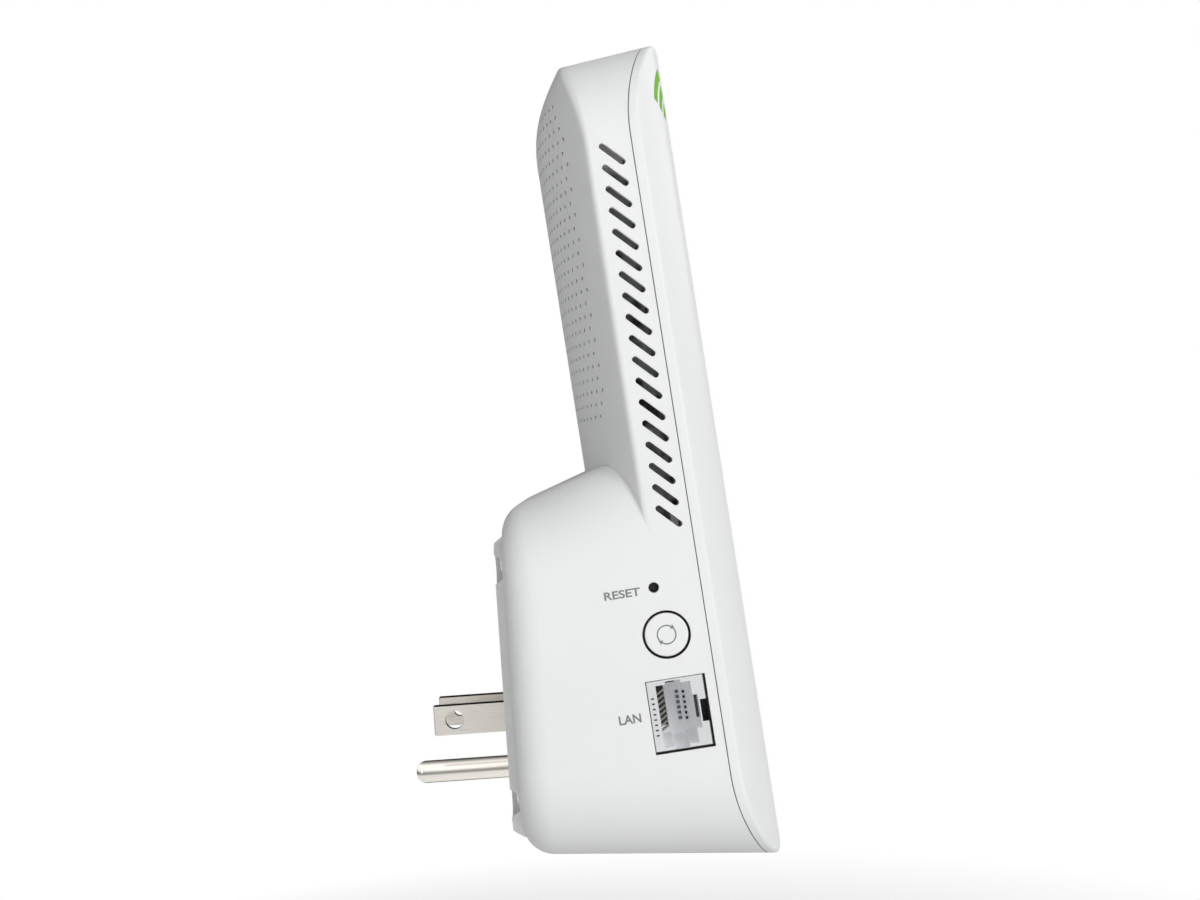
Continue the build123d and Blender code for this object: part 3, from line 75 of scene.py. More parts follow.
# ------------------------------------------------------------------------------ finish maker
def shade(colour, factor=1.0):
    """A linear colour with alpha, made lighter or darker by the factor."""
    return (colour[0] * factor, colour[1] * factor, colour[2] * factor, 1.0)


def grey(value):
    """A neutral linear colour with alpha."""
    return shade((1, 1, 1), value)


class Finish:
    """A principled material whose detail comes from noise in object space."""

    def __init__(self, name, **values):
        self.material = bpy.data.materials.new(name)
        self.material.use_nodes = True
        self.tree = self.material.node_tree
        self.tree.nodes.clear()
        self.output = self.add("ShaderNodeOutputMaterial")
        self.surface = self.add("ShaderNodeBsdfPrincipled")
        self.link(self.surface.outputs["BSDF"], self.output.inputs["Surface"])
        self.place = self.add("ShaderNodeTexCoord").outputs["Object"]
        for key, value in values.items():
            self.surface.inputs[key.replace("_", " ")].default_value = value

    def add(self, kind):
        return self.tree.nodes.new(kind)

    def link(self, source, target):
        self.tree.links.new(source, target)

    def feed(self, socket, value):
        if isinstance(value, (int, float, tuple)):
            socket.default_value = value
        else:
            self.link(value, socket)

    # numbers and colours
    def span(self, source, low, high, start=0.3, end=0.7):
        """The source, taken from start..end to low..high and held beyond them."""
        node = self.add("ShaderNodeMapRange")
        node.inputs["From Min"].default_value = start
        node.inputs["From Max"].default_value = end
        node.inputs["To Min"].default_value = low
        node.inputs["To Max"].default_value = high
        self.link(source, node.inputs["Value"])
        return node.outputs["Result"]

    def rises(self, distance, start, end):
        """0 before a start given in millimetres, 1 after an end."""
        return self.span(distance, 0.0, 1.0, start * MM, end * MM)

    def falls(self, distance, start, end):
        """1 before a start given in millimetres, 0 after an end."""
        return self.span(distance, 1.0, 0.0, start * MM, end * MM)

    def calc(self, operation, first, *others):
        """A running calculation, such as the product or the largest of several values."""
        for other in others:
            node = self.add("ShaderNodeMath")
            node.operation = operation
            self.feed(node.inputs[0], first)
            self.feed(node.inputs[1], other)
            first = node.outputs["Value"]
        return first

    def vector(self, operation, first, *others):
        """The outputs of a calculation on vectors."""
        node = self.add("ShaderNodeVectorMath")
        node.operation = operation
        for socket, value in zip(node.inputs, (first, *others)):
            self.feed(socket, value)
        return node.outputs

    def mix(self, factor, first, second):
        """The first colour where the factor is 0, the second where it is 1."""
        node = self.add("ShaderNodeMix")
        node.data_type = "RGBA"
        colours = [socket for socket in node.inputs if socket.type == "RGBA"]
        self.feed(node.inputs[0], factor)
        self.feed(colours[0], first)
        self.feed(colours[1], second)
        return [socket for socket in node.outputs if socket.type == "RGBA"][0]

    # places and patterns
    def noise(self, scale, detail=3.0, stretch=(1, 1, 1)):
        """Noise with its scale in features per metre."""
        mapping = self.add("ShaderNodeMapping")
        mapping.inputs["Scale"].default_value = stretch
        self.link(self.place, mapping.inputs["Vector"])
        node = self.add("ShaderNodeTexNoise")
        node.inputs["Scale"].default_value = scale
        node.inputs["Detail"].default_value = detail
        self.link(mapping.outputs["Vector"], node.inputs["Vector"])
        return node.outputs["Fac"]

    def clouds(self, scale, detail=3.0):
        """Broad soft patches from 0 to 1."""
        return self.span(self.noise(scale, detail), 0.0, 1.0)

    def from_point(self, origin):
        """The offset in metres from an origin."""
        place = self.add("ShaderNodeNewGeometry").outputs["Position"]
        return self.vector("SUBTRACT", place, tuple(origin))["Vector"]

    def along(self, direction, origin):
        """Distance in metres along a direction, measured from an origin."""
        return self.vector("DOT_PRODUCT", self.from_point(origin), tuple(direction))["Value"]

    def forward(self):
        return self.along(FORWARD, BODY_ORIGIN)

    def upward(self):
        return self.along(UPWARD, BODY_ORIGIN)

    def facing(self):
        """0 where a surface is seen head-on, 1 where it is seen edge-on."""
        node = self.add("ShaderNodeLayerWeight")
        node.inputs["Blend"].default_value = 0.5
        return node.outputs["Facing"]

    def crevice(self, reach):
        """Occlusion for painted shade: 1 on open surfaces, falling towards 0 in gaps narrower than the
        reach.
        """
        node = self.add("ShaderNodeAmbientOcclusion")
        node.samples = 8
        node.inputs["Distance"].default_value = reach * MM
        return node.outputs["AO"]

    # what the surface takes
    def colour(self, source):
        self.feed(self.surface.inputs["Base Color"], source)

    def rough(self, source, low, high):
        """Roughness that follows the source between two values."""
        self.link(self.span(source, low, high), self.surface.inputs["Roughness"])

    def glow(self, source, strength):
        """A faint light of its own, in the source's colours."""
        self.link(source, self.surface.inputs["Emission Color"])
        self.feed(self.surface.inputs["Emission Strength"], strength)

    def soften_edges(self, radius):
        """Rounds the shading of hard edges by a varying radius."""
        node = self.add("ShaderNodeBevel")
        node.samples = 6
        self.link(radius, node.inputs["Radius"])
        self.link(node.outputs["Normal"], self.surface.inputs["Normal"])

    def bump(self, height, microns, strength):
        """Relief on top of any normal that the surface already has."""
        node = self.add("ShaderNodeBump")
        node.inputs["Strength"].default_value = strength
        node.inputs["Distance"].default_value = microns * MICRON
        self.link(height, node.inputs["Height"])
        earlier = self.surface.inputs["Normal"].links
        if earlier:
            self.link(earlier[0].from_socket, node.inputs["Normal"])
        self.link(node.outputs["Normal"], self.surface.inputs["Normal"])


# ------------------------------------------------------------------------------ kinds of finish
PLASTIC_IOR = 1.5
GRAIN_STRENGTH = 0.35
PLASTIC_CLOUDS = 55.0           # scales of clouds and stains, in patches per metre
METAL_STAINS = 150.0
PLATING_STAINS = 170.0
CREVICE_SHADE = 0.12            # painted shade: how dark a narrow gap gets, in parts of the colour
ROUGHNESS_SPREAD = 0.06
METAL_GRAIN = 4                 # depth in microns
RIM_SHADE_FADE = 0.03                 # millimetres over which painted shade darkens plating above its rim
DRAWN = (1, 0.05, 1)            # stretch of marks drawn along the plug's direction


def plastic(name, colour, roughness, grain=4500.0, depth=20, vary=0.012, gap=None, specular=0.5):
    """Moulded plastic with a fine eroded grain, its depth in microns, and a slight cloudiness.

    Painted shade darkens gaps narrower than the given millimetres.
    """
    finish = Finish(name, IOR=PLASTIC_IOR, Specular_IOR_Level=specular)
    tone = finish.mix(finish.clouds(PLASTIC_CLOUDS, 4.0), shade(colour, 1 - vary), shade(colour, 1 + vary))
    # painted shade: narrow gaps darken towards CREVICE_SHADE of the colour
    if gap:
        shadow = finish.span(finish.crevice(gap), 1.0, 0.0, 0.25, 0.8)
        tone = finish.mix(shadow, tone, shade(colour, CREVICE_SHADE))
    finish.colour(tone)
    fine = finish.noise(grain, 2.0)
    finish.rough(fine, roughness - ROUGHNESS_SPREAD, roughness + ROUGHNESS_SPREAD)
    finish.bump(fine, depth, GRAIN_STRENGTH)
    return finish


def metal(name, colour, roughness, stretch=(1, 1, 1), scale=2500.0, depth=METAL_GRAIN):
    """Plated or drawn metal: fine drawn marks and a faint stain."""
    finish = Finish(name, Metallic=1.0)
    finish.colour(finish.mix(finish.clouds(METAL_STAINS), shade(colour, 0.93), shade(colour, 1.04)))
    marks = finish.noise(scale, 4.0, stretch)
    finish.rough(marks, roughness - 0.08, roughness + 0.1)
    finish.bump(marks, depth, 0.4)
    return finish


def painted_light_ramp(finish, source, ramp):
    """Painted light and shade in warm grey tones along a source that runs from 0 to 1."""
    tones = finish.add("ShaderNodeValToRGB")
    finish.link(source, tones.inputs["Fac"])
    stops = tones.color_ramp.elements
    while len(stops) < len(ramp):
        stops.new(0.5)
    for stop, (place, value) in zip(stops, ramp):
        stop.position = place
        stop.color = (value, value * 0.975, value * 0.94, 1.0)
    return tones.outputs["Color"]


def plated(name, glancing, upward, roughness, glow, rim=None):
    """Bright plating, painted light and shade from two ramps: head-on to glancing, facing down to facing
    up.

    Painted shade makes the plating dark above the height of its rim, where it has one.
    """
    finish = Finish(name, Metallic=1.0)
    split = finish.add("ShaderNodeSeparateXYZ")
    finish.link(finish.add("ShaderNodeNewGeometry").outputs["Normal"], split.inputs["Vector"])
    rise = finish.span(split.outputs["Z"], 0.0, 1.0, -1.0, 1.0)
    tone = finish.mix(finish.clouds(PLATING_STAINS), grey(0.95), grey(1.0))
    # painted light and shade: tone by view angle and by how far the surface faces up
    for source, ramp in ((finish.facing(), glancing), (rise, upward)):
        tone = finish.vector("MULTIPLY", tone, painted_light_ramp(finish, source, ramp))["Vector"]
    # painted shade: nearly black above the rim
    if rim:
        edge = finish.rises(finish.along((0, 0, 1), (0, 0, rim)), 0.0, RIM_SHADE_FADE)
        tone = finish.mix(edge, tone, grey(0.01))
    finish.colour(tone)
    finish.link(tone, finish.surface.inputs["Specular Tint"])
    # painted light: the plating glows faintly, though it is no lamp
    finish.glow(tone, glow)
    marks = finish.noise(2400.0, 4.0, DRAWN)
    finish.rough(marks, roughness - 0.06, roughness + 0.1)
    finish.bump(marks, METAL_GRAIN, 0.3)
    return finish


INWARD_LIMIT = -0.004           # a face is inward when it looks at the body's middle this much
# painted shade: the grey of faces that look into the body
INSIDE_SHADE = (0.6, 0.6, 0.618)
EDGE_ROUND = 0.18               # rounding of every edge, and what the crease beside the dome adds
CREASE_ROUND = 3.4
CREASE_START = (2.5, 5.0)       # forward, where the crease's rounding sets in and ends
CREASE_END = (6.0, 7.0)
CREASE_LOW = (-16.0, -8.0)      # up, where it sets in above the plug's housing


def crease_radius(finish):
    """Radius that grows towards the crease between the domed back and the sides."""
    forward = finish.forward()
    low, high = CREASE_LOW
    above = finish.span(finish.upward(), 0.0, CREASE_ROUND * MM, low * MM, high * MM)
    before = finish.rises(forward, *CREASE_START)
    after = finish.falls(forward, *CREASE_END)
    return finish.calc("ADD", finish.calc("MULTIPLY", before, after, above), EDGE_ROUND * MM)


def housing_plastic(name, colour, roughness):
    """The outer white plastic, with painted shade: grey on faces that look into the body, dark in narrow
    gaps.
    """
    finish = Finish(name, IOR=1.45)
    sheen = finish.span(finish.facing(), 0.14, 0.0, 0.55, 0.85)
    finish.link(sheen, finish.surface.inputs["Specular IOR Level"])
    white = finish.mix(finish.clouds(38.0, 4.0), shade(colour, 0.988), shade(colour, 1.008))
    # painted shade: faces that look into the body turn grey
    outward = finish.add("ShaderNodeNewGeometry").outputs["True Normal"]
    away = finish.vector("DOT_PRODUCT", finish.from_point(BODY_CENTRE), outward)["Value"]
    inside_shaded = finish.mix(finish.calc("LESS_THAN", away, INWARD_LIMIT), white, shade(INSIDE_SHADE))
    # painted shade: narrow gaps darken to a tenth of the colour
    gap = finish.span(finish.crevice(1.1), 1.0, 0.0, 0.2, 0.72)
    finish.colour(finish.mix(gap, inside_shaded, shade(colour, 0.1)))
    fine = finish.noise(5200.0, 2.0)
    finish.rough(fine, roughness - 0.05, roughness + 0.06)
    finish.soften_edges(crease_radius(finish))
    finish.bump(finish.noise(24.0, 2.0), 60, 0.2)
    finish.bump(fine, 16, 0.3)
    return finish


SOCKET_PAINTED_GLOW = 0.18              # painted light: a faint glow inside the socket's opening, though it is no lamp
# painted shadow colour of the socket's notch, comb and rims
SOCKET_SHADOW_TONE = (0.012, 0.012, 0.013)
# Stretches in depth, forward and up over which the socket's painted light and shadow set in, in
# millimetres.
OPENING_DEPTH = (0.45, 1.0)
NOTCH_DEPTH = (0.4, 0.7)
NOTCH_BACK = (11.35, 11.4)
COMB_FRONT = (5.1, 5.15)
COMB_LOW = (-56.9, -56.85)
FRONT_RIM = (12.66, 12.7)
LOWER_RIM = (-59.1, -59.06)


def socket_shadow(finish, depth, inside):
    """1 in the front notch, between the contacts and on the socket's front and lower rims."""
    forward = finish.forward()
    upward = finish.upward()
    notch = finish.calc("MULTIPLY", finish.rises(forward, *NOTCH_BACK), finish.rises(depth, *NOTCH_DEPTH))
    behind = finish.falls(forward, *COMB_FRONT)
    comb = finish.calc("MULTIPLY", behind, inside, finish.rises(upward, *COMB_LOW))
    rims = finish.rises(forward, *FRONT_RIM), finish.falls(upward, *LOWER_RIM)
    return finish.calc("MAXIMUM", notch, comb, *rims)


def socket_plastic(name, face, inner):
    """The socket's pale face, painted light in its opening, and painted shadow round and inside it."""
    finish = Finish(name, IOR=PLASTIC_IOR)
    depth = finish.along((1, 0, 0), (SIDE_X * MM, 0, 0))
    inside = finish.rises(depth, *OPENING_DEPTH)
    outer = finish.mix(finish.clouds(90.0), shade(face, 0.97), shade(face, 1.02))
    # painted light: the opening takes a lighter colour
    opening = finish.mix(inside, outer, shade(inner))
    tone = finish.mix(socket_shadow(finish, depth, inside), opening, shade(SOCKET_SHADOW_TONE))
    finish.colour(tone)
    # painted light: the opening glows faintly, though the socket is no lamp
    finish.glow(tone, finish.calc("MULTIPLY", inside, SOCKET_PAINTED_GLOW))
    fine = finish.noise(5000.0, 2.0)
    finish.rough(fine, 0.38, 0.5)
    finish.bump(fine, 20, GRAIN_STRENGTH)
    return finish


LATCH_EDGE = (10.98, 11.0)      # forward, where the latch's painted shade turns from black to grey
LATCH_SHADE_BLACK = (0.01, 0.01, 0.011)
LATCH_GREYS = ((0.4, 0.41, 0.42), (0.46, 0.47, 0.48))


def latch_plastic():
    """Grey plastic, with painted shade that makes it black at the back."""
    finish = Finish("latch_plastic", IOR=PLASTIC_IOR, Roughness=0.5)
    grain = finish.mix(finish.noise(900.0), *map(shade, LATCH_GREYS))
    # painted shade: black at the back of the latch
    finish.colour(finish.mix(finish.rises(finish.forward(), *LATCH_EDGE), shade(LATCH_SHADE_BLACK), grain))
    return finish


# Painted shade and light seen through the vents
VENT_SHADE_TONES = ((0.015, 0.015, 0.016), (0.36, 0.37, 0.375))
TOP_SLOT_LIGHT = (0.85, 0.86, 0.86)
LOWEST_SLOT_LIGHT = (0.93, 0.94, 0.94)
LEAN_FORWARD = (9.5, 12.0)      # forward and up, over which the painted shade turns grey
LEAN_UP = (25.0, 50.0)
TOP_UP = (52.0, 54.0)           # up, where painted light turns it pale beside the top slots
END_UP = (-12.8, -12.6)         # the lowest slot's pale end of painted light lies below and in front of these
END_FORWARD = (11.5, 11.6)


def vent_shade_and_light():
    """Painted shade in uneven patches; painted light beside the top slots and at the lowest one's front
    end.
    """
    finish = Finish("vent_shade_and_light", IOR=1.45, Roughness=0.55)
    forward = finish.forward()
    upward = finish.upward()
    patches = finish.span(finish.noise(210.0, 2.0), 0.0, 1.0, 0.42, 0.58)
    lean = finish.calc("MULTIPLY", finish.rises(forward, *LEAN_FORWARD), finish.rises(upward, *LEAN_UP))
    # painted shade in dark and grey patches, and painted light by the top slots and the lowest slot's end
    shade_and_light = finish.mix(finish.calc("MAXIMUM", patches, lean), *map(shade, VENT_SHADE_TONES))
    shade_and_light = finish.mix(finish.rises(upward, *TOP_UP), shade_and_light, shade(TOP_SLOT_LIGHT))
    end = finish.calc("MULTIPLY", finish.falls(upward, *END_UP), finish.rises(forward, *END_FORWARD))
    finish.colour(finish.mix(end, shade_and_light, shade(LOWEST_SLOT_LIGHT)))
    return finish


def circuit_board(name, colour):
    """Solder mask over copper: square-cornered patches stand slightly proud and paler."""
    finish = Finish(name, IOR=PLASTIC_IOR)
    cells = finish.add("ShaderNodeTexVoronoi")
    cells.distance = "CHEBYCHEV"
    cells.inputs["Scale"].default_value = 260.0
    finish.link(finish.place, cells.inputs["Vector"])
    copper = finish.span(cells.outputs["Distance"], 0.0, 1.0, 0.30, 0.34)
    finish.colour(finish.mix(copper, shade(colour), shade(colour, 1.6)))
    finish.rough(finish.noise(900.0), 0.26, 0.4)
    finish.bump(copper, 30, 0.5)
    return finish


# ------------------------------------------------------------------------------ the object's finishes
BODY_CENTRE = body_point(0, 0, 14)
WHITE = (0.82, 0.825, 0.825)
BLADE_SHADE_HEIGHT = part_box("line_blade")[1].z - 0.22 * MM

# Painted light and shade for the plating, as pairs of place and brightness.
BLADE_GLANCING_LIGHT = ((0.0, 0.77), (0.6, 0.75), (0.9, 0.5), (1.0, 0.3))
BLADE_UPWARD_LIGHT = ((0.0, 1.0), (0.6, 1.0), (0.68, 0.05), (1.0, 0.01))
PIN_GLANCING_LIGHT = ((0.0, 1.0), (0.82, 1.0), (0.93, 0.25), (1.0, 0.1))
PIN_UPWARD_LIGHT = (
    (0.0, 0.2), (0.045, 0.3), (0.1, 1.0), (0.4, 1.0), (0.48, 0.33), (0.55, 0.35), (0.66, 0.8),
    (0.84, 0.88), (0.94, 0.3), (1.0, 0.1)
)

# One finish for each of the record's material slots. After its name, colour and roughness a plastic
# may give its grain per metre, the grain's depth in microns and how much its clouds vary.
FINISHES = {
    "cover_white": housing_plastic("cover_plastic", WHITE, 0.5),
    "shell_white": housing_plastic("shell_plastic", WHITE, 0.52),
    # the plate and the button give, as gap, the reach in millimetres of painted shade
    "plate_white": plastic("plate_plastic", (0.87, 0.875, 0.87), 0.5, grain=3800.0, depth=30, gap=1.0),
    "button_white": plastic("button_plastic", WHITE, 0.35, gap=1.1),
    "plug_nickel": plated("blade_plating", BLADE_GLANCING_LIGHT, BLADE_UPWARD_LIGHT, 0.3, 0.05, BLADE_SHADE_HEIGHT),
    "screw_steel": metal("screw_plating", (0.5, 0.5, 0.51), 0.35),
    "signal_green": plastic("signal_plastic", (0.21, 0.52, 0.07), 0.6, 3000.0, 10, 0.05, specular=0.0),
    "guide_clear": plastic("guide_plastic", (0.75, 0.8, 0.76), 0.2, grain=1500.0),
    "led_white": plastic("led_resin", (0.9, 0.86, 0.6), 0.25, grain=6000.0),
    # its second colour is painted light inside the socket's opening
    "socket_grey": socket_plastic("socket_plastic", (0.66, 0.67, 0.68), (0.8, 0.81, 0.83)),
    "contact_gold": metal("gold_flash", (0.8, 0.6, 0.26), 0.28),
    "board_green": circuit_board("solder_mask", (0.015, 0.085, 0.035)),
    "black_plastic": plastic("package_plastic", (0.012, 0.012, 0.013), 0.5, 4000.0, 30, 0.1),
    "switch_black": plastic("switch_plastic", (0.015, 0.015, 0.016), 0.42, 4000.0, 20, 0.1),
    "tin": metal("tin_plate", (0.66, 0.66, 0.64), 0.38, stretch=(1, 1, 0.1)),
    "aluminium": metal("blasted_aluminium", (0.68, 0.69, 0.7), 0.5, scale=3500.0, depth=10),
    "pad_grey": plastic("pad_rubber", (0.22, 0.24, 0.28), 0.75, 2500.0, 50, 0.06),
    "can_aluminium": metal("can_sleeve", (0.62, 0.63, 0.64), 0.34, stretch=DRAWN),
    "sleeve_black": plastic("shrink_sleeve", (0.012, 0.012, 0.018), 0.3, 900.0, 20, 0.1),
    "ferrite": plastic("sintered_ferrite", (0.018, 0.018, 0.02), 0.6, 2500.0, 60, 0.2),
    "copper_wire": metal("enamelled_copper", (0.6, 0.22, 0.08), 0.25, stretch=(1, 1, 4), scale=1800.0),
    "tape_yellow": plastic("winding_tape", (0.72, 0.45, 0.03), 0.3, 700.0, 30, 0.06),
    "film_yellow": plastic("capacitor_box", (0.62, 0.38, 0.03), 0.35, 3000.0, 20, 0.05),
    "disc_blue": plastic("blue_epoxy", (0.01, 0.06, 0.28), 0.3, 900.0, 40, 0.08),
    "disc_orange": plastic("orange_epoxy", (0.55, 0.12, 0.01), 0.3, 900.0, 40, 0.08),
    "fuse_grey": plastic("fuse_ceramic", (0.22, 0.22, 0.19), 0.5, 2200.0, 30, 0.06),
    "sheet_film": plastic("insulating_film", (0.6, 0.56, 0.42), 0.3, 600.0, 30, 0.05),
    "header_white": plastic("header_nylon", (0.76, 0.74, 0.66), 0.45, 3600.0, 20, 0.04),
    "cable_black": plastic("black_jacket", (0.012, 0.012, 0.012), 0.5, 1800.0, 30, 0.1),
    "cable_white": plastic("white_jacket", (0.7, 0.7, 0.66), 0.5, 1800.0, 30, 0.05),
    "cable_green": plastic("green_jacket", (0.01, 0.14, 0.02), 0.5, 1800.0, 30, 0.1),
    "cable_red": plastic("red_jacket", (0.35, 0.008, 0.006), 0.5, 1800.0, 30, 0.1),
}

# The round pin, the socket's contacts, the reset plunger and two boards differ from their slots.
OWN_FINISHES = {
    "ground_pin": plated("pin_plating", PIN_GLANCING_LIGHT, PIN_UPWARD_LIGHT, 0.22, 0.25),
    "lan_jack_contacts": metal("contact_plating", (0.5, 0.48, 0.42), 0.3),
    "reset_plunger": FINISHES["switch_black"],
    "main_board": circuit_board("dark_solder_mask", (0.05, 0.052, 0.054)),
    "side_antennas": circuit_board("antenna_mask", (0.16, 0.165, 0.17)),
}

for part in frame["record"]["subparts"]:
    finish = OWN_FINISHES.get(part["node"], FINISHES[part["material_slot"]])
    NODES[part["node"]].data.materials[0] = finish.material


# ------------------------------------------------------------------------------ pieces on the side
INK = plastic("marking_ink", (0.2, 0.204, 0.208), 0.6, 3500.0, 10, 0.12)
INK_HEIGHT = 0.03               # how far a mark stands above a surface and reaches below it
INK_BURIED = 0.05
INK_DEPTH = INK_HEIGHT + INK_BURIED
INK_LIFT = (INK_HEIGHT - INK_BURIED) / 2

# Turns x, y and z into forward, upward and outward on the left side.
SIDE_TURN = Matrix((FORWARD, UPWARD, Vector((-1, 0, 0)))).transposed().to_4x4()


def own_piece(name, mesh, finish, body):
    """Adds a mesh to the scene as a piece of the object that rides on a body."""
    piece = bpy.data.objects.new(name, mesh)
    bpy.context.scene.collection.objects.link(piece)
    mesh.materials.clear()
    mesh.materials.append(finish.material)
    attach(piece, body)


def finished_mesh(name, shape):
    """A mesh made from the shape, which is freed."""
    mesh = bpy.data.meshes.new(name)
    shape.to_mesh(mesh)
    shape.free()
    return mesh


def side_placing(x, up, forward):
    """Turns and moves a mark drawn in x and y onto the left side, reading towards the front."""
    return Matrix.Translation(body_point(x, up, forward)) @ SIDE_TURN


# ------------------------------------------------------------------------------ lettering
STROKE_GAIN = 0.022             # thickens the letters, in parts of their size
FLAT = 0.01

# text, height of its capitals, length, and its middle's place up and forward
LABELS = {
    "label_reset": ("RESET", 1.6, 7.0, -28.0, -0.1),
    "label_lan": ("LAN", 1.75, 4.3, -52.0, -2.3),
}


def word_mesh(text, cap_height, length):
    """Flat thin lettering centred on the origin, with its cap height and length in mm."""
    curve = bpy.data.curves.new("lettering", "FONT")
    curve.body = text
    curve.extrude = FLAT
    curve.offset = STROKE_GAIN
    holder = bpy.data.objects.new("lettering", curve)
    bpy.context.scene.collection.objects.link(holder)
    bpy.context.view_layer.update()
    mesh = bpy.data.meshes.new_from_object(holder)
    bpy.data.objects.remove(holder)
    bpy.data.curves.remove(curve)
    places = [vertex.co for vertex in mesh.vertices]
    low = [min(place[axis] for place in places) for axis in range(3)]
    high = [max(place[axis] for place in places) for axis in range(3)]
    middle = Vector([(a + b) / 2 for a, b in zip(low, high)])
    wanted = (length, cap_height, INK_DEPTH)
    scales = [size * MM / (b - a) for size, a, b in zip(wanted, low, high)]
    mesh.transform(Matrix.Diagonal((*scales, 1)) @ Matrix.Translation(-middle))
    return mesh


def word(name, text, cap_height, length, up, forward):
    mesh = word_mesh(text, cap_height, length)
    mesh.transform(side_placing(SIDE_X - INK_LIFT, up, forward))
    own_piece(name, mesh, INK, "housing")


# ------------------------------------------------------------------------------ button's arrows
ARROW_RADIUS = 1.78
ARROW_LINE = 0.24
ARROW_SWEEP = 163
ARROW_STARTS = (216, 36)
ARROW_HEAD = 0.75
HEAD_HALF_WIDTH = 0.62          # in parts of the head's length
ARROW_STEPS = 24


def arrow_outline(start, end):
    """Outline of a curved arrow: a band along an arc with a triangular head at its end."""
    angles = [start + (end - start) * step / ARROW_STEPS for step in range(ARROW_STEPS + 1)]
    rays = [Vector((math.cos(angle), math.sin(angle))) for angle in angles]
    outer = [ray * (ARROW_RADIUS + ARROW_LINE / 2) for ray in rays]
    inner = [ray * (ARROW_RADIUS - ARROW_LINE / 2) for ray in reversed(rays)]
    tip_way = Vector((-math.sin(end), math.cos(end))) * math.copysign(ARROW_HEAD, end - start)
    middle = rays[-1] * ARROW_RADIUS
    wide = rays[-1] * ARROW_HEAD * HEAD_HALF_WIDTH
    return outer + [middle + wide, middle + tip_way, middle - wide] + inner


def prism(name, outline, depth):
    """A closed prism on a flat outline, centred on z = 0, with its sizes in mm."""
    shape = bmesh.new()
    lower, upper = [
        [shape.verts.new((x * MM, y * MM, side * depth / 2 * MM)) for x, y in outline] for side in (-1, 1)
    ]
    shape.faces.new(list(reversed(lower)))
    shape.faces.new(upper)
    count = len(outline)
    for index in range(count):
        following = (index + 1) % count
        shape.faces.new((lower[index], lower[following], upper[following], upper[index]))
    return finished_mesh(name, shape)


def sync_icon():
    """Two curved arrows chasing each other round the middle of the button's face."""
    low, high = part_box("sync_button")
    centre = Vector((low.x - INK_LIFT * MM, (low.y + high.y) / 2, (low.z + high.z) / 2))
    for index, start in enumerate(ARROW_STARTS):
        outline = arrow_outline(math.radians(start), math.radians(start - ARROW_SWEEP))
        mesh = prism("sync_arrow", outline, INK_DEPTH)
        mesh.transform(Matrix.Translation(centre) @ SIDE_TURN)
        own_piece(f"sync_arrow_{index + 1}", mesh, INK, "sync_button")


# ------------------------------------------------------------------------------ socket and vents
# sizes run across, up and forward, as places do
BLOCK_ROUND = 0.05
MARK_X = SIDE_X + 0.25
MARK_FORWARD = 2.57
MARK_SIZE = (0.06, 0.3, 0.55)
TIP_X = -23.4
TIP_UP = JACK_UP - 0.98
TIP_FORWARD = 9.0
TIP_PITCH = 1.07
TIP_COUNT = 6
TIP_SIZE = (0.5, 0.5, 0.5)
STOP_RISE = 0.2                 # the stops lie a little above the tips and behind them
STOP_FORWARD = 7.7
STOP_SIZE = (0.5, 0.6, 0.7)
LATCH_STEP = ((-38.5, -51.45, 10.875), (0.4, 4.6, 0.85))
# a black block as painted shade in the socket's slit
KEY_SLIT_SHADE = ((-39.3, -46.0, 6.3), (0.6, 0.36, 1.7))
# place and size of the sheets that carry painted shade behind the vents
SHADE_SHEET_PLACE = (36.08, 20.0, 10.1)
SHADE_SHEET_SIZE = (0.65, 78.0, 5.8)


def row(middle, pitch, count):
    """Evenly spaced places about a middle."""
    return [middle + pitch * (index - (count - 1) / 2) for index in range(count)]


def blocks(name, boxes, finish, rounding=BLOCK_ROUND):
    """Blocks on the leaning body, each a middle (x, up, forward) and a size in the same order."""
    shape = bmesh.new()
    for middle, size in boxes:
        block = bmesh.ops.create_cube(shape, size=1.0)
        scale = Matrix.Diagonal((size[2] * MM, size[1] * MM, size[0] * MM, 1))
        bmesh.ops.transform(shape, matrix=side_placing(*middle) @ scale, verts=block["verts"])
    if rounding:
        edges = shape.edges[:]
        bmesh.ops.bevel(shape, geom=edges, offset=rounding * MM, segments=2, profile=0.5, affect="EDGES")
    own_piece(name, finished_mesh(name, shape), finish, "housing")


def socket_details():
    """Marks on the socket's face, and the tips, stops, latch step and slit inside it, the slit as painted
    shade.
    """
    black = FINISHES["black_plastic"]
    marks = [((MARK_X, up, MARK_FORWARD), MARK_SIZE) for up in row(JACK_UP, CONTACT_PITCH, CONTACT_COUNT)]
    blocks("socket_marks", marks, black, rounding=0)
    tip_rows = row(TIP_UP, TIP_PITCH, TIP_COUNT)
    tips = [((TIP_X, up, TIP_FORWARD), TIP_SIZE) for up in tip_rows]
    blocks("contact_tips", tips, black)
    stops = [((TIP_X, up + STOP_RISE, STOP_FORWARD), STOP_SIZE) for up in tip_rows]
    blocks("contact_stops", stops, FINISHES["pad_grey"])
    blocks("latch_step", [LATCH_STEP], latch_plastic())
    # painted shade: a black block stands in for the dark inside the slit
    blocks("key_slit_shade", [KEY_SLIT_SHADE], black)


def vent_shade_sheets():
    """A sheet behind the vents of each side, carrying painted shade and light."""
    # a sheet of painted shade behind each side's vents
    x, up, forward = SHADE_SHEET_PLACE
    shaded_boxes = [((side * x, up, forward), SHADE_SHEET_SIZE) for side in (-1, 1)]
    blocks("vent_shade_sheets", shaded_boxes, vent_shade_and_light())


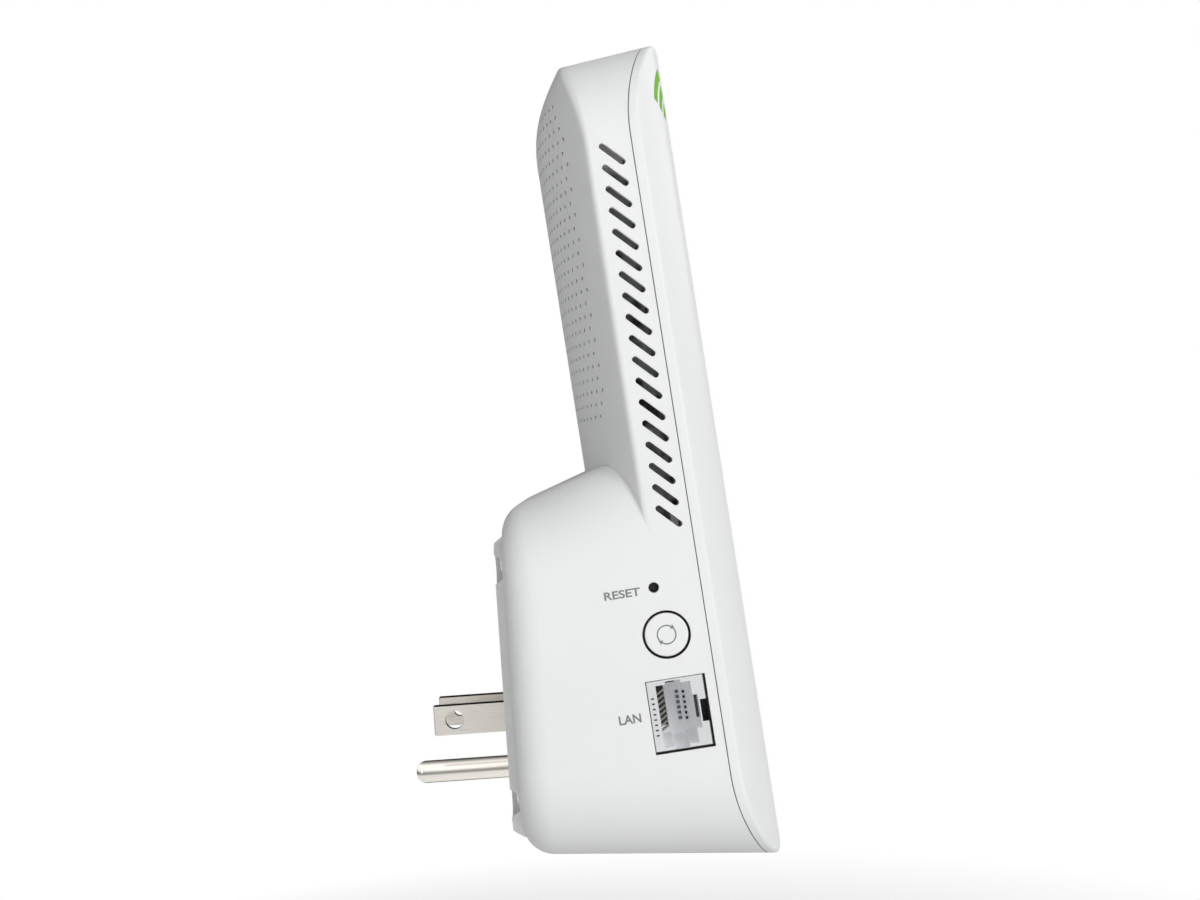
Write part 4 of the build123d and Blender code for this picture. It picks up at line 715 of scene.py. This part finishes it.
# ------------------------------------------------------------------------------ floor and light
FLOOR_Z = -0.09
FLOOR_HALF = 6.0
FADE_START = 0.1                # distances from the object over which the floor turns white
FADE_END = 0.24
AMBIENT = 0.27
MIRRORED = 1.0
SOFT_WHITE = (0.985, 0.992, 1.0, 1.0)
PURE_WHITE = (1.0, 1.0, 1.0, 1.0)

# place, aim, diameter and power of each soft lamp
LAMPS = {
    "key_left": ((-1.1, -0.55, 0.45), (0, 0, 0.05), 0.9, 11.2),
    "key_right": ((1.1, -0.5, 0.6), (0, 0, 0.05), 0.9, 8),
    "front_fill": ((0.1, -1.3, 0.35), (0, 0, 0.05), 0.9, 0.4),
    "rear_low": ((-0.6, 0.8, 0.1), (0, 0, 0), 0.4, 0.8),
}


def floor_finish():
    """A plain pale floor that fades to the white of the backdrop away from the object."""
    finish = Finish("floor_paper", IOR=1.4, Roughness=0.9)
    paper = finish.mix(finish.clouds(6.0), grey(0.88), grey(0.9))
    seen = finish.add("ShaderNodeLightPath").outputs["Is Camera Ray"]
    finish.colour(finish.mix(seen, grey(0.79), paper))
    distance = finish.vector("LENGTH", finish.place)["Value"]
    far = finish.span(distance, 0.0, 1.0, FADE_START, FADE_END)
    glow = finish.add("ShaderNodeEmission")
    blend = finish.add("ShaderNodeMixShader")
    finish.link(finish.calc("MULTIPLY", far, seen), blend.inputs["Fac"])
    finish.link(finish.surface.outputs["BSDF"], blend.inputs[1])
    finish.link(glow.outputs["Emission"], blend.inputs[2])
    finish.link(blend.outputs["Shader"], finish.output.inputs["Surface"])
    return finish


def floor():
    shape = bmesh.new()
    bmesh.ops.create_grid(shape, x_segments=2, y_segments=2, size=FLOOR_HALF)
    mesh = finished_mesh("floor", shape)
    mesh.materials.append(floor_finish().material)
    plane = bpy.data.objects.new("floor", mesh)
    plane.location = (0, 0, FLOOR_Z)
    bpy.context.scene.collection.objects.link(plane)


def world():
    """White to the camera, a soft grey as light, and white again in reflections."""
    backdrop = bpy.data.worlds.new("studio")
    backdrop.use_nodes = True
    tree = backdrop.node_tree
    tree.nodes.clear()
    output = tree.nodes.new("ShaderNodeOutputWorld")
    ray = tree.nodes.new("ShaderNodeLightPath")
    layers = []
    for colour, strength in ((SOFT_WHITE, AMBIENT), (PURE_WHITE, MIRRORED), (PURE_WHITE, 1.0)):
        layer = tree.nodes.new("ShaderNodeBackground")
        layer.inputs["Color"].default_value = colour
        layer.inputs["Strength"].default_value = strength
        layers.append(layer.outputs["Background"])
    below = layers[0]
    for test, layer in zip(("Is Glossy Ray", "Is Camera Ray"), layers[1:]):
        mix = tree.nodes.new("ShaderNodeMixShader")
        tree.links.new(ray.outputs[test], mix.inputs["Fac"])
        tree.links.new(below, mix.inputs[1])
        tree.links.new(layer, mix.inputs[2])
        below = mix.outputs["Shader"]
    tree.links.new(below, output.inputs["Surface"])
    bpy.context.scene.world = backdrop


def soft_lamp(name, place, aim, diameter, power):
    light = bpy.data.lights.new(name, "AREA")
    light.shape = "DISK"
    light.size = diameter
    light.energy = power
    lamp = bpy.data.objects.new(name, light)
    lamp.location = place
    lamp.rotation_euler = (Vector(aim) - Vector(place)).to_track_quat("-Z", "Y").to_euler()
    bpy.context.scene.collection.objects.link(lamp)


# ------------------------------------------------------------------------------ camera
EYE = (-0.360, -0.0229, 0.05483)
ROLL = math.radians(4.0)
LENS = 50.0
SENSOR_WIDTH = 36.0
CLIP_START = 0.01
CLIP_END = 20.0


def camera():
    """Level with the body's middle, looking along +X at the left side, with a slight roll."""
    data = bpy.data.cameras.new("camera")
    data.lens = LENS
    data.sensor_width = SENSOR_WIDTH
    data.clip_start = CLIP_START
    data.clip_end = CLIP_END
    right = Vector((0, -math.cos(ROLL), -math.sin(ROLL)))
    up = Vector((0, -math.sin(ROLL), math.cos(ROLL)))
    turn = Matrix((right, up, Vector((-1, 0, 0)))).transposed().to_4x4()
    eye = bpy.data.objects.new("camera", data)
    eye.matrix_world = Matrix.Translation(EYE) @ turn
    bpy.context.scene.collection.objects.link(eye)
    bpy.context.scene.camera = eye


# ------------------------------------------------------------------------------ the scene
for name, label in LABELS.items():
    word(name, *label)
sync_icon()
socket_details()
vent_shade_sheets()
floor()
world()
for name, lamp in LAMPS.items():
    soft_lamp(name, *lamp)
camera()
bpy.context.scene.view_settings.view_transform = "Standard"
